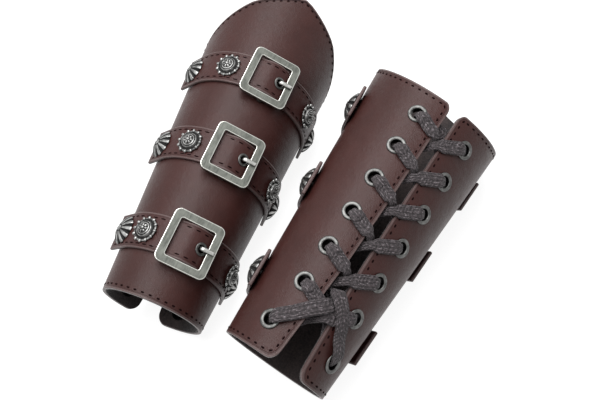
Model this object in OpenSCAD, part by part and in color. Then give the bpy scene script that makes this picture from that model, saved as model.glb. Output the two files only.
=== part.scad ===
// A pair of laced leather bracers: two tapered sleeves, each with three buckled straps,
// stud ornaments on the straps and a flat lace down the back seam.
// Lengths are millimetres. A sleeve is drawn upright, wrist down, with its front on -Y,
// and the pair is then laid down side by side.

/* [Sleeve] */
// Outer radius at the wrist edge
wrist_r = 40.5; // [36:0.5:46]
// Outer radius at the taper height
elbow_r = 56; // [52:0.5:62]
// Height over which the radius grows from wrist to elbow
taper_h = 210; // [190:5:230]
// Height of the pointed front at the elbow
arch_top = 284; // [270:1:300]
// Height of the back edge beside the seam
back_top = 215; // [208:1:225]
// Height of the front edge at the wrist, on the left and the right sleeve
wrist_front = [-2, 2.5]; // [-3:0.5:5]
// Height of the back edge at the wrist, on the left and the right sleeve
wrist_back = [3.5, -6]; // [-8:0.5:4]
// Thickness of the outer leather
leather_t = 2.6; // [2:0.1:3.4]
// Thickness of the lining
lining_t = 0.9; // [0.6:0.1:1.4]

/* [Seam] */
// Half of the gap between the flaps at the elbow
gap_elbow = 4.3; // [3.5:0.1:5]
// Half of the gap between the flaps at the wrist
gap_wrist = 9.6; // [8:0.1:11]
// Corner radius of the flaps
flap_r = 10; // [6:0.5:12]

/* [Lace and eyelets] */
// Pairs of eyelets along the seam
eye_pairs = 7; // [5:1:7]
// Height of the pair nearest the wrist
eye_first = 16.6; // [14:0.2:18]
// Height of the second pair
eye_second = 48.8; // [46:0.2:50]
// Spacing of the pairs above the second
eye_pitch = 29.25; // [28:0.25:30]
// Distance from the seam to the eyelets
eye_side = 22.4; // [21:0.2:24]
// Distance from the seam to the pair nearest the wrist
eye_side_wrist = 27.6; // [26:0.2:29]
// Radius of the hole in an eyelet
eye_hole_r = 4.2; // [4:0.1:4.4]
// Outer radius of an eyelet's rim
eye_rim_r = 7; // [6.4:0.1:7.2]
// Width of the flat lace
lace_w = 10.4; // [7:0.2:10.6]
// Thickness of the flat lace
lace_t = 1.7; // [1.2:0.1:1.8]

/* [Straps] */
// Heights of the middle of the straps, from the wrist up
strap_z = [46, 123.4, 197];
// Width of a strap
strap_w = 29.4; // [27:0.2:30]
// Thickness of a strap
strap_t = 2.6; // [2:0.1:2.8]
// Angles from the front at which the left and the right strap leave the sleeve
strap_wrap = [69, 80]; // [66:1:84]
// Length of the straight end of a strap
strap_tail = 20; // [19:0.5:24]

/* [Buckle] */
// Window of the buckle across the sleeve
window_w = 27.5; // [26:0.5:29]
// Width of the buckle's bars
bar_w = 6.3; // [5:0.1:7]
// Thickness of the buckle frame
frame_t = 2.8; // [2.2:0.1:3.2]
// Height of the frame's back above the leather
frame_h = 4.4; // [4.3:0.1:5]
// Radius of the frame's outer corners
corner_r = 5; // [3:0.5:6]
// Radius of the centre bar
pivot_r = 1.2; // [1:0.05:1.25]
// Height of the centre bar above the leather
pivot_h = 2.5; // [2.4:0.05:2.6]
// Radius of the prong
prong_r = 1.1; // [0.9:0.05:1.15]
// Distance from the centre bar to the strap eyelet
hole_x = 7.5; // [7:0.1:8]

/* [Studs] */
// Radius of the round beaded studs
round_r = 10.6; // [9:0.1:11]
// Height of the round studs
round_h = 5.6; // [4:0.1:7]
// Radius of the petal studs
petal_r = 11.6; // [10:0.1:12]
// Height of the petal studs
petal_h = 5.4; // [4:0.1:7]
// Distances from the buckle's middle to the left and the right round studs
round_x = [33.8, 47.5]; // [33:0.1:48]
// Distances of the petal studs past the points where the straps leave the sleeve
petal_x = [6.5, 8]; // [6:0.1:9]
// Radius of a stud's post
post_r = 1.5; // [1.2:0.1:1.8]

/* [Laying down] */
// Turn of each sleeve about its own length
roll = 34; // [30:1:38]
// Turn of the second sleeve against the first
splay = 12.8; // [8:0.1:16]
// Distance between the two wrists
pair_gap = 109; // [109:1:130]
// How far the second wrist lies behind the first
pair_step = 11.3; // [8:0.1:14]

/* [Hidden] */
$fn = 48;
SIDES = ["left_", "right_"];
STRAPS = ["wrist_", "middle_", "elbow_"];
WHOLE = ["sleeve", "lining", "lace_eyelets", "lace", "lace_knot", "round_studs",
         "petal_studs", "stud_backs"];
PER_STRAP = ["buckle_strap", "holed_strap", "strap_eyelet", "buckle_frame", "prong"];
NODES = [for (s = SIDES) each concat(
             [for (n = WHOLE) str(s, n)],
             [for (k = STRAPS) for (n = PER_STRAP) str(s, k, n)])];
node = "all";

// Gap between leather pieces that lie on each other
skin_gap = 0.1;
// Play of a post or an eyelet in its hole
hole_gap = 0.1;
// Play of the centre bar in the strap's loop
pivot_gap = 0.06;
leather = [0.25, 0.14, 0.13];
suede = [0.16, 0.11, 0.1];
silver = [0.66, 0.65, 0.62];
gunmetal = [0.33, 0.33, 0.34];
cord = [0.2, 0.17, 0.17];

half_angle = atan((elbow_r - wrist_r) / taper_h);
shell_t = leather_t + skin_gap + lining_t;
clear_h = 40;
function radius(z) = wrist_r + (elbow_r - wrist_r) * z / taper_h;
function turn(x, z) = x / radius(z) * 180 / PI;
// Value of a left and right pair, for side -1 or 1
function of(pair, side) = pair[side < 0 ? 0 : 1];
function lerp(a, b, t) = a + (b - a) * t;

// Points along a quadratic curve
function bend(a, b, c, n) =
    [for (i = [0:n]) let (t = i / n) (1 - t) * (1 - t) * a + 2 * t * (1 - t) * b + t * t * c];
// Points round the corner b of a path a, b, c
function corner(a, b, c, r, n = 8) = let (
    u = (a - b) / norm(a - b), v = (c - b) / norm(c - b),
    half = acos(u * v) / 2, mid = (u + v) / norm(u + v),
    centre = b + mid * r / sin(half),
    from = b + u * r / tan(half) - centre, to = b + v * r / tan(half) - centre)
    [for (i = [0:n]) let (w = lerp(from, to, i / n)) centre + w / norm(w) * r];
function rounded(path, r) = let (n = len(path))
    [for (i = [0:n - 1]) each corner(path[(i + n - 1) % n], path[i], path[(i + 1) % n], r)];

// Puts its children on the sleeve's face, X round the sleeve, Y up it, Z outwards
module on_face(angle, z) {
    rotate([0, 0, angle]) translate([0, -radius(z), z]) rotate([90 + half_angle, 0, 0]) children();
}
module at_eyelets() {
    for (side = [-1, 1]) for (i = [0:eye_pairs - 1])
        on_face(180 + side * turn(eye_x(i), eye_z(i)), eye_z(i)) children();
}
// Level 0 is the pair nearest the elbow
function eye_z(i) = i == eye_pairs - 1 ? eye_first : eye_second + (eye_pairs - 2 - i) * eye_pitch;
function eye_x(i) = i == eye_pairs - 1 ? eye_side_wrist : eye_side;
module at_round_studs() {
    for (side = [-1, 1]) for (z = strap_z)
        on_face(side * turn(of(round_x, side), z), z) translate([0, 0, skin_gap + strap_t]) children();
}
module at_petal_studs() {
    for (side = [-1, 1]) for (z = strap_z)
        on_face(side * of(strap_wrap, side), z)
            translate([side * of(petal_x, side), 0, skin_gap + strap_t]) children();
}

// Sleeve outline: seen from the side, from the front and from behind
arch_bow = [-36, 246];
module side_outline(side) {
    top = bend([-elbow_r - 7, arch_top + 4], arch_bow, [elbow_r + 2, back_top - 1], 24);
    slant = (of(wrist_front, side) - of(wrist_back, side)) / 2;
    middle = (of(wrist_front, side) + of(wrist_back, side)) / 2;
    wide = elbow_r + 12;
    polygon(concat(
        [[-wide, middle + slant * wide / wrist_r], [-wide, arch_top + clear_h]], top,
        [[wide, back_top - 4], [wide, middle - slant * wide / wrist_r]]));
}
shoulder_slope = 0.42;
point_r = 9;
module front_outline() {
    wide = elbow_r + 12;
    shoulder = arch_top - shoulder_slope * wide;
    peak = [0, arch_top + 0.9];
    polygon(concat([[-wide, arch_top + clear_h], [-wide, shoulder]],
        corner([-wide, shoulder], peak, [wide, shoulder], point_r),
        [[wide, shoulder], [wide, arch_top + clear_h]]));
}
module seam_outline(side) {
    flap_top = back_top + 1;
    flap_end = of(wrist_back, side) - 0.6;
    edge = [[gap_wrist + flap_r, -clear_h], [gap_wrist + flap_r, flap_end]];
    low = corner([gap_wrist + flap_r, flap_end], [gap_wrist, flap_end], [gap_wrist - 1, 28], flap_r - 0.5);
    high = corner([gap_elbow, 100], [gap_elbow, flap_top], [gap_elbow + flap_r, flap_top], flap_r - 1.5);
    half = concat(edge, low, [[gap_elbow + 0.8, 78], [gap_elbow + 0.3, 120]], high,
        [[gap_elbow + flap_r, flap_top], [gap_elbow + flap_r, arch_top + clear_h]]);
    polygon(concat(half, [for (i = [len(half) - 1:-1:0]) [-half[i].x, half[i].y]]));
}
// A tapered tube between two offsets from the sleeve's outer face, cut to the outline
module trimmed_tube(side, outer, inner) {
    low = -clear_h / 2;
    high = arch_top + clear_h / 2;
    difference() {
        intersection() {
            difference() {
                translate([0, 0, low])
                    cylinder(h = high - low, r1 = radius(low) + outer, r2 = radius(high) + outer);
                translate([0, 0, low - 1])
                    cylinder(h = high - low + 2, r1 = radius(low - 1) + inner,
                             r2 = radius(high + 1) + inner);
            }
            rotate([90, 0, 90]) linear_extrude(4 * elbow_r, center = true) side_outline(side);
        }
        rotate([90, 0, 0]) linear_extrude(2 * elbow_r) front_outline();
        rotate([90, 0, 180]) linear_extrude(2 * elbow_r) seam_outline(side);
    }
}
// Holes through the leather for eyelets and stud posts
module face_holes() {
    at_eyelets() cylinder(h = clear_h, r = eye_hole_r + eye_wall + hole_gap, center = true);
    at_round_studs() cylinder(h = clear_h, r = post_r + hole_gap, center = true);
    at_petal_studs() cylinder(h = clear_h, r = post_r + hole_gap, center = true);
}
module sleeve(side) {
    color(leather) difference() { trimmed_tube(side, 0, -leather_t); face_holes(); }
}
module lining(side) {
    color(suede) difference() { trimmed_tube(side, -leather_t - skin_gap, -shell_t); face_holes(); }
}

// Lace eyelets: a barrel with a rolled rim outside and a flat one inside
eye_wall = 0.7;
rim_h = 1.1;
inner_rim_t = 0.6;
// The inner rim seats where its edge meets the hollow side of the lining
inner_rim_h = shell_t + eye_rim_r * eye_rim_r / (2 * (wrist_r - shell_t)) + 0.05;
module lace_eyelets() {
    barrel_r = eye_hole_r + eye_wall;
    mid_r = (eye_hole_r + eye_rim_r) / 2;
    color(gunmetal) at_eyelets() rotate_extrude() polygon(concat(
        [[eye_hole_r, -inner_rim_h - inner_rim_t], [eye_hole_r, rim_h * 0.6]],
        bend([eye_hole_r, rim_h * 0.6], [mid_r - 0.8, rim_h * 1.2], [mid_r, rim_h], 4),
        bend([mid_r, rim_h], [eye_rim_r, rim_h], [eye_rim_r, 0.05], 4),
        [[barrel_r, 0.05], [barrel_r, -inner_rim_h], [eye_rim_r, -inner_rim_h],
         [eye_rim_r, -inner_rim_h - inner_rim_t]]));
}

// The lace: [distance from the seam, height, lift off the face, heading, width]
lace_out = lace_t / 2 + 0.32;
lace_in = -shell_t - lace_t / 2 - 0.75;
lace_rim_in = -inner_rim_h - inner_rim_t - lace_t / 2 - 0.2;
// How far the flat rim's edge stands off the round face
rim_rise = eye_rim_r * eye_rim_r / (2 * wrist_r);
lace_over_rim = rim_h + rim_rise + lace_t / 2 + 0.3;
lace_gap_w = lace_w * 0.6;
eye_lace_w = eye_hole_r * 1.5;
// A run starts in an eyelet on one side, drops by fall as it reaches the other flap's edge
function fall(side) = side > 0 ? 12 : 18;
function run_heading(side) = side * atan2(fall(side), eye_side + gap_elbow);
function inner_heading(side, i) =
    side * atan2(eye_z(i) - eye_z(i + 1) - fall(side), eye_x(i + 1) - gap_elbow - 1);
function run_z(side, i, s) = eye_z(i) - fall(side) * (eye_side - s) / (eye_side + gap_elbow + 1);
function run(side, i) = let (
    e = eye_x(i), g = gap_elbow + 1, next = eye_x(i + 1), a = run_heading(side),
    b = inner_heading(side, i), c = (a + (i > 0 ? inner_heading(-side, i - 1) : 0)) / 2,
    edge_z = run_z(side, i, -g), last_z = eye_z(i + 1),
    dive = side > 0
        ? [[g - 1.7, lace_out + 0.1], [g - 3.3, 0.2], [0, -2.1], [-g + 3.5, -4.2],
           [-g + 1.6, lace_in], [-g - 1, lace_in]]
        : [[1.5, lace_out + 0.1], [0.2, 0.4], [-g + 3.4, -2.6], [-g + 2.2, -4.5],
           [-g + 0.8, lace_in - 0.2], [-g - 0.6, lace_in - 0.2]])
    [for (p = concat(
        [[e, eye_z(i), lace_rim_in + 1.6, c, eye_lace_w], [e, eye_z(i), -1.6, c, eye_lace_w],
         [e, eye_z(i), 0.4, a, eye_lace_w]],
        [for (q = [[2.2, lace_over_rim - 0.8], [4.3, lace_over_rim], [7, lace_over_rim - 0.1],
                   [9.2, lace_out + 0.2]])
            [e - q[0], run_z(side, i, e - q[0]), q[1], a, q[0] < 4 ? eye_lace_w + 0.6 : lace_w]],
        [[g + 4, run_z(side, i, g + 4), lace_out, a, lace_w],
         [g + 0.5, run_z(side, i, g + 0.5), lace_out, a, lace_w]],
        [for (q = dive) [q[0], run_z(side, i, q[0]), q[1], a, lace_gap_w]],
        [for (q = [[0.35, lace_in, b], [0.62, lace_rim_in - 0.05, b], [0.86, lace_rim_in, b]])
            [lerp(-g, -next, q[0]), lerp(edge_z, last_z, q[0]), q[1], q[2],
             q[0] > 0.8 ? eye_lace_w + 0.6 : lace_w]]))
        [side * p[0], p[1], p[2], p[3], p[4]]];
lace_top = lace_out + lace_t + 0.3;
// The two free ends of the lace, from the last eyelets to the knot behind the seam
lace_ends = [
    [[24.5, 19.5, lace_over_rim, -43], [21, 22.5, lace_over_rim, -43], [17, 26.5, lace_out + 0.3, -44],
     [11.5, 32, lace_out + 0.9, -46], [7, 36.5, lace_top, -48], [2.5, 41, lace_top, -50],
     [-0.5, 44.5, lace_top - 1.4, -56], [-2.2, 47, -0.6, -66], [-2.8, 49.2, -3.6, -76],
     [-2.4, 51.2, -8, -84]],
    [[-25.2, 21, lace_over_rim, 57], [-22.6, 25, lace_over_rim, 57], [-19.5, 30, lace_out + 0.3, 57],
     [-16, 35.6, lace_out + 1.2, 57], [-12.5, 41, lace_top, 56], [-8, 46.8, lace_top - 0.4, 52],
     [-4, 51, lace_out + 0.8, 46], [-0.6, 54, 0.2, 42], [1.6, 55.6, -3, 60], [2.2, 56.6, -7.6, 80]]];
function last_eye(side) = let (i = eye_pairs - 1, b = inner_heading(-side, i - 1), e = side * eye_x(i))
    [[e, eye_z(i), lace_rim_in + 1.6, b, eye_lace_w], [e, eye_z(i), -1.6, b, eye_lace_w],
     [e, eye_z(i), 0.6, b, eye_lace_w]];
function strand(side) = let (last = eye_pairs % 2 == 1 ? side : -side) concat(
    [for (i = [0:eye_pairs - 2]) each run(i % 2 == 0 ? side : -side, i)],
    last_eye(last),
    [for (p = lace_ends[last > 0 ? 0 : 1]) concat(p, p[2] < 0 ? lace_gap_w : lace_w)]);
function flip(list) = [for (i = [len(list) - 1:-1:0]) list[i]];
lace_bar = [for (q = [1, 0.75, 0.4, 0, -0.4, -0.75, -1])
    [(eye_side - 3.5) * q, eye_z(0), abs(q) > 0.5 ? lace_rim_in : lace_in, 0,
     abs(q) > 0.9 ? eye_lace_w + 0.6 : lace_w]];
lace_route = concat(flip(strand(1)), lace_bar, strand(-1));

// Point and directions on the sleeve's back, s from the seam
function back_dir(s, z) = let (a = turn(s, z)) [sin(a), cos(a), 0];
function back_along(s, z) = let (a = turn(s, z)) [cos(a), -sin(a), 0];
function back_point(p) = (radius(p[1]) + p[2]) * back_dir(p[0], p[1]) + [0, 0, p[1]];
function lace_ring(path, i) = let (
    p = path[i], n = len(path),
    step = back_point(path[min(i + 1, n - 1)]) - back_point(path[max(i - 1, 0)]),
    across = back_along(p[0], p[1]) * -sin(p[3]) + [0, 0, cos(p[3])],
    ahead = step - across * (step * across), up = cross(ahead / norm(ahead), across),
    w = p[4] / 2, t = lace_t / 2)
    [for (q = [[w, t * 0.45], [w - t * 0.9, t], [-w + t * 0.9, t], [-w, t * 0.45],
               [-w, -t * 0.45], [-w + t * 0.9, -t], [w - t * 0.9, -t], [w, -t * 0.45]])
        back_point(p) + across * q[0] + up * q[1]];
// A closed solid through rings of points
module skin(rings) {
    n = len(rings);
    m = len(rings[0]);
    polyhedron([for (r = rings) each r], concat(
        [for (i = [0:n - 2]) for (k = [0:m - 1]) let (a = i * m + k, b = i * m + (k + 1) % m)
            each [[a, b, b + m], [a, b + m, a + m]]],
        [for (k = [1:m - 2]) [0, k + 1, k]],
        [for (k = [1:m - 2]) let (e = (n - 1) * m) [e, e + k, e + k + 1]]));
}
module lace() {
    color(cord) skin(flip([for (i = [0:len(lace_route) - 1]) lace_ring(lace_route, i)]));
}
// The knot that ties the two ends behind the seam
knot_r = 5.5;
knot_in = 7.4;
module lace_knot() {
    last = [for (list = lace_ends) list[len(list) - 1]];
    color(cord) translate(back_point([(last[0][0] + last[1][0]) / 2, (last[0][1] + last[1][1]) / 2,
                                      -knot_in - knot_r]))
        rotate_extrude() polygon([for (a = [-90:10:90]) [knot_r * cos(a), knot_r * 0.9 * sin(a)]]);
}

// Straps: stations of [distance round, distance along the straight end, lift, thickness]
band_step = 2.5;
function band_point(side, z, middle, st, up) = let (
    a = side * turn(st[0], middle), lift = st[2] + (up ? st[3] : 0),
    r = radius(z) + lift * cos(half_angle))
    [r * sin(a) + side * st[1] * cos(a), -r * cos(a) + side * st[1] * sin(a), z - lift * sin(half_angle)];
module band(side, middle, stations) {
    low = middle - strap_w / 2;
    high = middle + strap_w / 2;
    rings = [for (st = stations)
        [band_point(side, low, middle, st, false), band_point(side, high, middle, st, false),
         band_point(side, high, middle, st, true), band_point(side, low, middle, st, true)]];
    skin(side > 0 ? flip(rings) : rings);
}
function wrap_end(side, z) = of(strap_wrap, side) * PI / 180 * radius(z);
function wrapped(from, side, z) = let (end = wrap_end(side, z), n = ceil((end - from) / (2 * band_step)))
    concat([for (i = [1:n]) [lerp(from, end, i / n), 0, skin_gap, strap_t]],
           [for (q = [0.5, 1]) [end, strap_tail * q, skin_gap, strap_t]]);
// The holed strap rises over the centre bar, and its tip lies on the buckle strap
loop_r = pivot_r + pivot_gap + 1;
rise_len = 24;
top_lift = pivot_h + loop_r + skin_gap;
tip_lift = strap_t + 2 * skin_gap;
tip_x = -18.5;
function strap_lift(x) = x >= 0
    ? lerp(skin_gap, top_lift, (1 + cos(180 * min(x / rise_len, 1))) / 2)
    : lerp(tip_lift, top_lift, (1 + cos(180 * min(-x / 11, 1))) / 2);
function rise_slope(x) = atan(strap_lift(x + 0.5) - strap_lift(x - 0.5));
module holed_strap(k) {
    z = strap_z[k];
    n = ceil((rise_len - tip_x) / band_step);
    color(leather) difference() {
        band(1, z, concat(
            [for (i = [0:n]) let (x = lerp(tip_x, rise_len, i / n)) [x, 0, strap_lift(x), strap_t]],
            wrapped(rise_len, 1, z)));
        on_hole(k) cylinder(h = clear_h / 4, r = hole_r + hole_wall + hole_gap, center = true);
        on_studs(k, 1) cylinder(h = clear_h, r = post_r + hole_gap, center = true);
    }
}
module on_studs(k, side) {
    z = strap_z[k];
    on_face(side * turn(of(round_x, side), z), z) children();
    on_face(side * of(strap_wrap, side), z) translate([side * of(petal_x, side), 0, 0]) children();
}
// The buckle strap ends in a loop round the centre bar, slotted for the prong
slot_w = 2 * prong_r + 1.6;
module buckle_strap(k) {
    z = strap_z[k];
    from = 9;
    color(leather) difference() {
        union() {
            band(-1, z, concat(
                [[1, 0, skin_gap + 0.6, loop_r * 1.55], [3, 0, skin_gap, loop_r * 1.55],
                 [6, 0, skin_gap, strap_t * 1.12]],
                [[from, 0, skin_gap, strap_t]], wrapped(from, -1, z)));
            on_face(0, z) translate([0, 0, pivot_h]) rotate([90, 0, 0])
                cylinder(h = strap_w, r = loop_r, center = true);
        }
        on_face(0, z) translate([0, 0, pivot_h]) rotate([90, 0, 0])
            cylinder(h = strap_w + 2, r = pivot_r + pivot_gap, center = true);
        on_face(0, z) translate([0, 0, pivot_h]) cube([4 * loop_r, slot_w, 4 * loop_r], center = true);
        on_studs(k, -1) cylinder(h = clear_h, r = post_r + hole_gap, center = true);
    }
}
// A small eyelet in the holed strap takes the prong
hole_r = 2.9;
hole_wall = 0.5;
hole_rim_r = 4.7;
hole_rim_t = 0.4;
module on_hole(k) {
    z = strap_z[k];
    a = turn(hole_x, z);
    on_face(a, z) translate([0, 0, strap_lift(hole_x) + strap_t / 2])
        rotate([0, -rise_slope(hole_x), 0]) children();
}
module strap_eyelet(k) {
    barrel_r = hole_r + hole_wall;
    seat = strap_t / 2 + 0.25;
    under = strap_t / 2 + 0.55;
    color(gunmetal) on_hole(k) rotate_extrude() polygon([
        [hole_r, -under - hole_rim_t], [hole_rim_r, -under - hole_rim_t], [hole_rim_r, -under],
        [barrel_r, -under], [barrel_r, seat], [hole_rim_r, seat], [hole_rim_r, seat + hole_rim_t * 0.5],
        [hole_rim_r - 0.5, seat + hole_rim_t * 1.6], [hole_r + 0.5, seat + hole_rim_t * 1.6],
        [hole_r, seat + hole_rim_t]]);
}

// Buckle: a square frame whose centre bar sits lower, on two lugs
strap_play = 0.4;
window_h = strap_w + 2 * strap_play;
module box_outline(w, h, r) {
    polygon(rounded([[-w / 2, -h / 2], [w / 2, -h / 2], [w / 2, h / 2], [-w / 2, h / 2]], r));
}
frame_edge = 0.7;
module buckle_frame(k) {
    lug_w = 4;
    inner_r = 1.2;
    edge = frame_edge;
    w = window_w + 2 * bar_w;
    h = window_h + 2 * bar_w;
    color(silver) on_face(0, strap_z[k]) difference() {
        union() {
            translate([0, 0, frame_h]) linear_extrude(frame_t - edge) box_outline(w, h, corner_r);
            translate([0, 0, frame_h + frame_t - edge])
                linear_extrude(edge) box_outline(w - 2 * edge, h - 2 * edge, corner_r - edge);
            for (side = [-1, 1]) translate([0, side * (window_h / 2 + bar_w / 2), 0]) {
                translate([-lug_w / 2, -bar_w / 2, pivot_h])
                    cube([lug_w, bar_w - edge, frame_h - pivot_h + edge]);
                translate([0, 0, pivot_h]) rotate([90, 0, 0])
                    cylinder(h = bar_w, r = lug_w / 2, center = true);
            }
        }
        translate([0, 0, frame_h - 1]) linear_extrude(frame_t + 2) box_outline(window_w, window_h, inner_r);
    }
    color(silver) on_face(0, strap_z[k]) translate([0, 0, pivot_h]) rotate([90, 0, 0])
        cylinder(h = window_h + 2, r = pivot_r, center = true);
}
// The prong turns on the centre bar, comes up through the strap's eyelet and rests on the frame
prong_top_r = prong_r + 0.3;
prong_tip_r = prong_r + 0.1;
prong_rest_h = frame_h + frame_t + prong_top_r + 0.1;
prong_path = [[0.6, pivot_h - 0.3], [hole_x - 1, pivot_h - 0.45], [hole_x + 1.8, prong_rest_h - 0.3],
              [window_w / 2 + bar_w * 0.7, prong_rest_h - 0.1]];
module rod(a, b, r1, r2) {
    d = b - a;
    translate([a.x, 0, a.y]) rotate([0, atan2(d.x, d.y), 0]) cylinder(h = norm(d), r1 = r1, r2 = r2);
}
module prong(k) {
    ring_r = pivot_r + pivot_gap + 0.9;
    bulge = 0.04;
    color(silver) on_face(0, strap_z[k]) difference() {
        union() {
            translate([0, 0, pivot_h]) rotate([90, 0, 0])
                cylinder(h = 2 * prong_r, r = ring_r, center = true);
            for (i = [0:2]) rod(prong_path[i], prong_path[i + 1],
                                       i == 2 ? prong_top_r : prong_r, i == 2 ? prong_tip_r : prong_r);
            for (i = [1:2]) translate([prong_path[i].x, 0, prong_path[i].y])
                sphere((i == 2 ? prong_top_r : prong_r) + bulge);
            translate([prong_path[3].x, 0, prong_path[3].y]) sphere(prong_tip_r + bulge);
        }
        translate([0, 0, pivot_h]) rotate([90, 0, 0])
            cylinder(h = 4 * prong_r, r = pivot_r + pivot_gap, center = true);
    }
}

// Studs: each has a post through strap, sleeve and lining, and a flat back inside
back_r = 4.5;
back_t = 1;
// How far a back lies under the face, so that its edge meets the hollow side of the lining
function back_depth(reach) = shell_t + reach * reach / (2 * (wrist_r - shell_t)) + 0.05;
function post_len(reach) = back_depth(reach) + strap_t + skin_gap;
round_reach = back_r;
petal_reach = max(petal_x) + back_r;
stud_gap = 0.1;
module round_studs() {
    beads = 16;
    bead_r = 1.25;
    plate_r = round_r - bead_r;
    color(silver) at_round_studs() {
        translate([0, 0, -post_len(round_reach)])
            cylinder(h = post_len(round_reach) + stud_gap + 0.2, r = post_r);
        translate([0, 0, stud_gap]) rotate_extrude() polygon(concat(
            [[0, 0], [plate_r, 0], [plate_r, 1.2], [plate_r - 1.2, 1.9], [plate_r - 2, 1.5]],
            [[plate_r - 2.6, 1.5], [plate_r - 3.2, 2.6], [plate_r - 4, 2.4]],
            bend([plate_r - 4.2, 2.4], [plate_r - 4.8, round_h * 0.95], [0, round_h], 6)));
        for (i = [0:beads - 1]) rotate([0, 0, i * 360 / beads])
            translate([plate_r, 0, stud_gap]) cylinder(h = 1.6, r1 = bead_r, r2 = bead_r * 0.7, $fn = 24);
    }
}
module petal_studs() {
    petals = 9;
    groove_r = 1.1;
    color(silver) at_petal_studs() {
        translate([0, 0, -post_len(petal_reach)])
            cylinder(h = post_len(petal_reach) + stud_gap + 0.2, r = post_r);
        difference() {
            translate([0, 0, stud_gap]) rotate_extrude() polygon(concat(
                [[0, 0], [petal_r, 0], [petal_r, 0.7]],
                bend([petal_r, 0.7], [petal_r * 0.72, petal_h * 1.05], [0, petal_h], 8)));
            for (i = [0:petals - 1]) rotate([0, 0, (i + 0.5) * 360 / petals])
                translate([petal_r + 0.6, 0, stud_gap + 1.6]) rotate([0, -68, 0])
                    cylinder(h = petal_r * 0.75, r1 = groove_r * 1.3, r2 = 0.3, $fn = 24);
        }
    }
}
module stud_backs() {
    color(gunmetal) {
        at_round_studs() translate([0, 0, -post_len(round_reach) - back_t]) stud_back();
        at_petal_studs() translate([0, 0, -post_len(petal_reach) - back_t]) stud_back();
    }
}
module stud_back() {
    rotate_extrude() polygon([[0, 0], [back_r - 0.6, 0], [back_r, 0.5], [back_r, back_t], [0, back_t]]);
}

// Laying the pair down: the first rests on its laced back, the second on its buckles
left_rest = lace_over_rim + lace_t / 2 - 0.1;
right_rest = (window_w / 2 + bar_w - frame_edge) * sin(roll) + (frame_h + frame_t) * cos(roll)
    - radius(strap_z[0]) * (1 - cos(roll));
// Where the first wrist lies, so that the pair is centred on the origin
first_wrist = [-78.67, -126.92];
module left_pose() {
    translate([first_wrist.x, first_wrist.y, wrist_r / cos(half_angle) + left_rest])
        rotate([half_angle, 0, 0]) rotate([0, roll, 0]) rotate([-90, 0, 0]) children();
}
module right_pose() {
    translate([first_wrist.x + pair_gap, first_wrist.y - pair_step,
               wrist_r / cos(half_angle) + right_rest])
        rotate([0, 0, -splay]) rotate([half_angle, 0, 0]) rotate([0, 180 + roll, 0])
        rotate([-90, 0, 0]) children();
}
module laid(s) {
    if (s == SIDES[0]) left_pose() children();
    else right_pose() children();
}
function wanted(name) = node == "all" || node == name;
function side_of(s) = s == SIDES[0] ? -1 : 1;

for (s = SIDES) {
    if (wanted(str(s, "sleeve"))) laid(s) sleeve(side_of(s));
    if (wanted(str(s, "lining"))) laid(s) lining(side_of(s));
    if (wanted(str(s, "lace_eyelets"))) laid(s) lace_eyelets();
    if (wanted(str(s, "lace"))) laid(s) lace();
    if (wanted(str(s, "lace_knot"))) laid(s) lace_knot();
    if (wanted(str(s, "round_studs"))) laid(s) round_studs();
    if (wanted(str(s, "petal_studs"))) laid(s) petal_studs();
    if (wanted(str(s, "stud_backs"))) laid(s) stud_backs();
    for (k = [0:2]) {
        if (wanted(str(s, STRAPS[k], "buckle_strap"))) laid(s) buckle_strap(k);
        if (wanted(str(s, STRAPS[k], "holed_strap"))) laid(s) holed_strap(k);
        if (wanted(str(s, STRAPS[k], "strap_eyelet"))) laid(s) strap_eyelet(k);
        if (wanted(str(s, STRAPS[k], "buckle_frame"))) laid(s) buckle_frame(k);
        if (wanted(str(s, STRAPS[k], "prong"))) laid(s) prong(k);
    }
}
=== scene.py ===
"""The looks of a pair of laced leather bracers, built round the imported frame.

Every piece is modelled once for one bracer, standing upright with its wrist down, its front on -Y and lengths
in millimetres. It is then copied for the left and the right bracer and laid down where the frame has them.
"""

import math

import bpy
from mathutils import Matrix, Vector


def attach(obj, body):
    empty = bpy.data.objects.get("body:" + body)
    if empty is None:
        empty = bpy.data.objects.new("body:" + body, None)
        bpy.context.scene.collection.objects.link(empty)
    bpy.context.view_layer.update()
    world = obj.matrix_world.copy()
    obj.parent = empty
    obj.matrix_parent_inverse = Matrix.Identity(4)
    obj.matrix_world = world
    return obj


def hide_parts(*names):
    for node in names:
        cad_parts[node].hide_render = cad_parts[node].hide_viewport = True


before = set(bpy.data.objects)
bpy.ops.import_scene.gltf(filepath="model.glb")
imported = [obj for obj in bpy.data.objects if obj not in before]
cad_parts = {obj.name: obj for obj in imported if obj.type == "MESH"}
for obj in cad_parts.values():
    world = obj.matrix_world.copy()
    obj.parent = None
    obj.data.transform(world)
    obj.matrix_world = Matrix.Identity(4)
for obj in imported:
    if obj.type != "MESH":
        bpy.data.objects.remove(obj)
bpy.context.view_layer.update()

MM = 0.001
SIDES = ("left", "right")
STRAPS = ("wrist", "middle", "elbow")

# Camera, at the photograph's viewing angle
CAMERA_AZIMUTH = math.radians(34.33)
CAMERA_ELEVATION = math.radians(53.06)
CAMERA_ROLL = math.radians(-16.45)
CAMERA_DISTANCE = 0.628
CAMERA_TARGET = Vector((-0.02377, 0.02668, 0.0))
CAMERA_LENS = 42.44


def camera_axes():
    """Right, up and backward of the camera, in the row frame."""
    az, el = CAMERA_AZIMUTH, CAMERA_ELEVATION
    back = Vector((math.sin(az) * math.cos(el), -math.cos(az) * math.cos(el), math.sin(el)))
    right = Vector((math.cos(az), math.sin(az), 0))
    up = back.cross(right)
    c, s = math.cos(CAMERA_ROLL), math.sin(CAMERA_ROLL)
    return c * right + s * up, c * up - s * right, back


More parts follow.
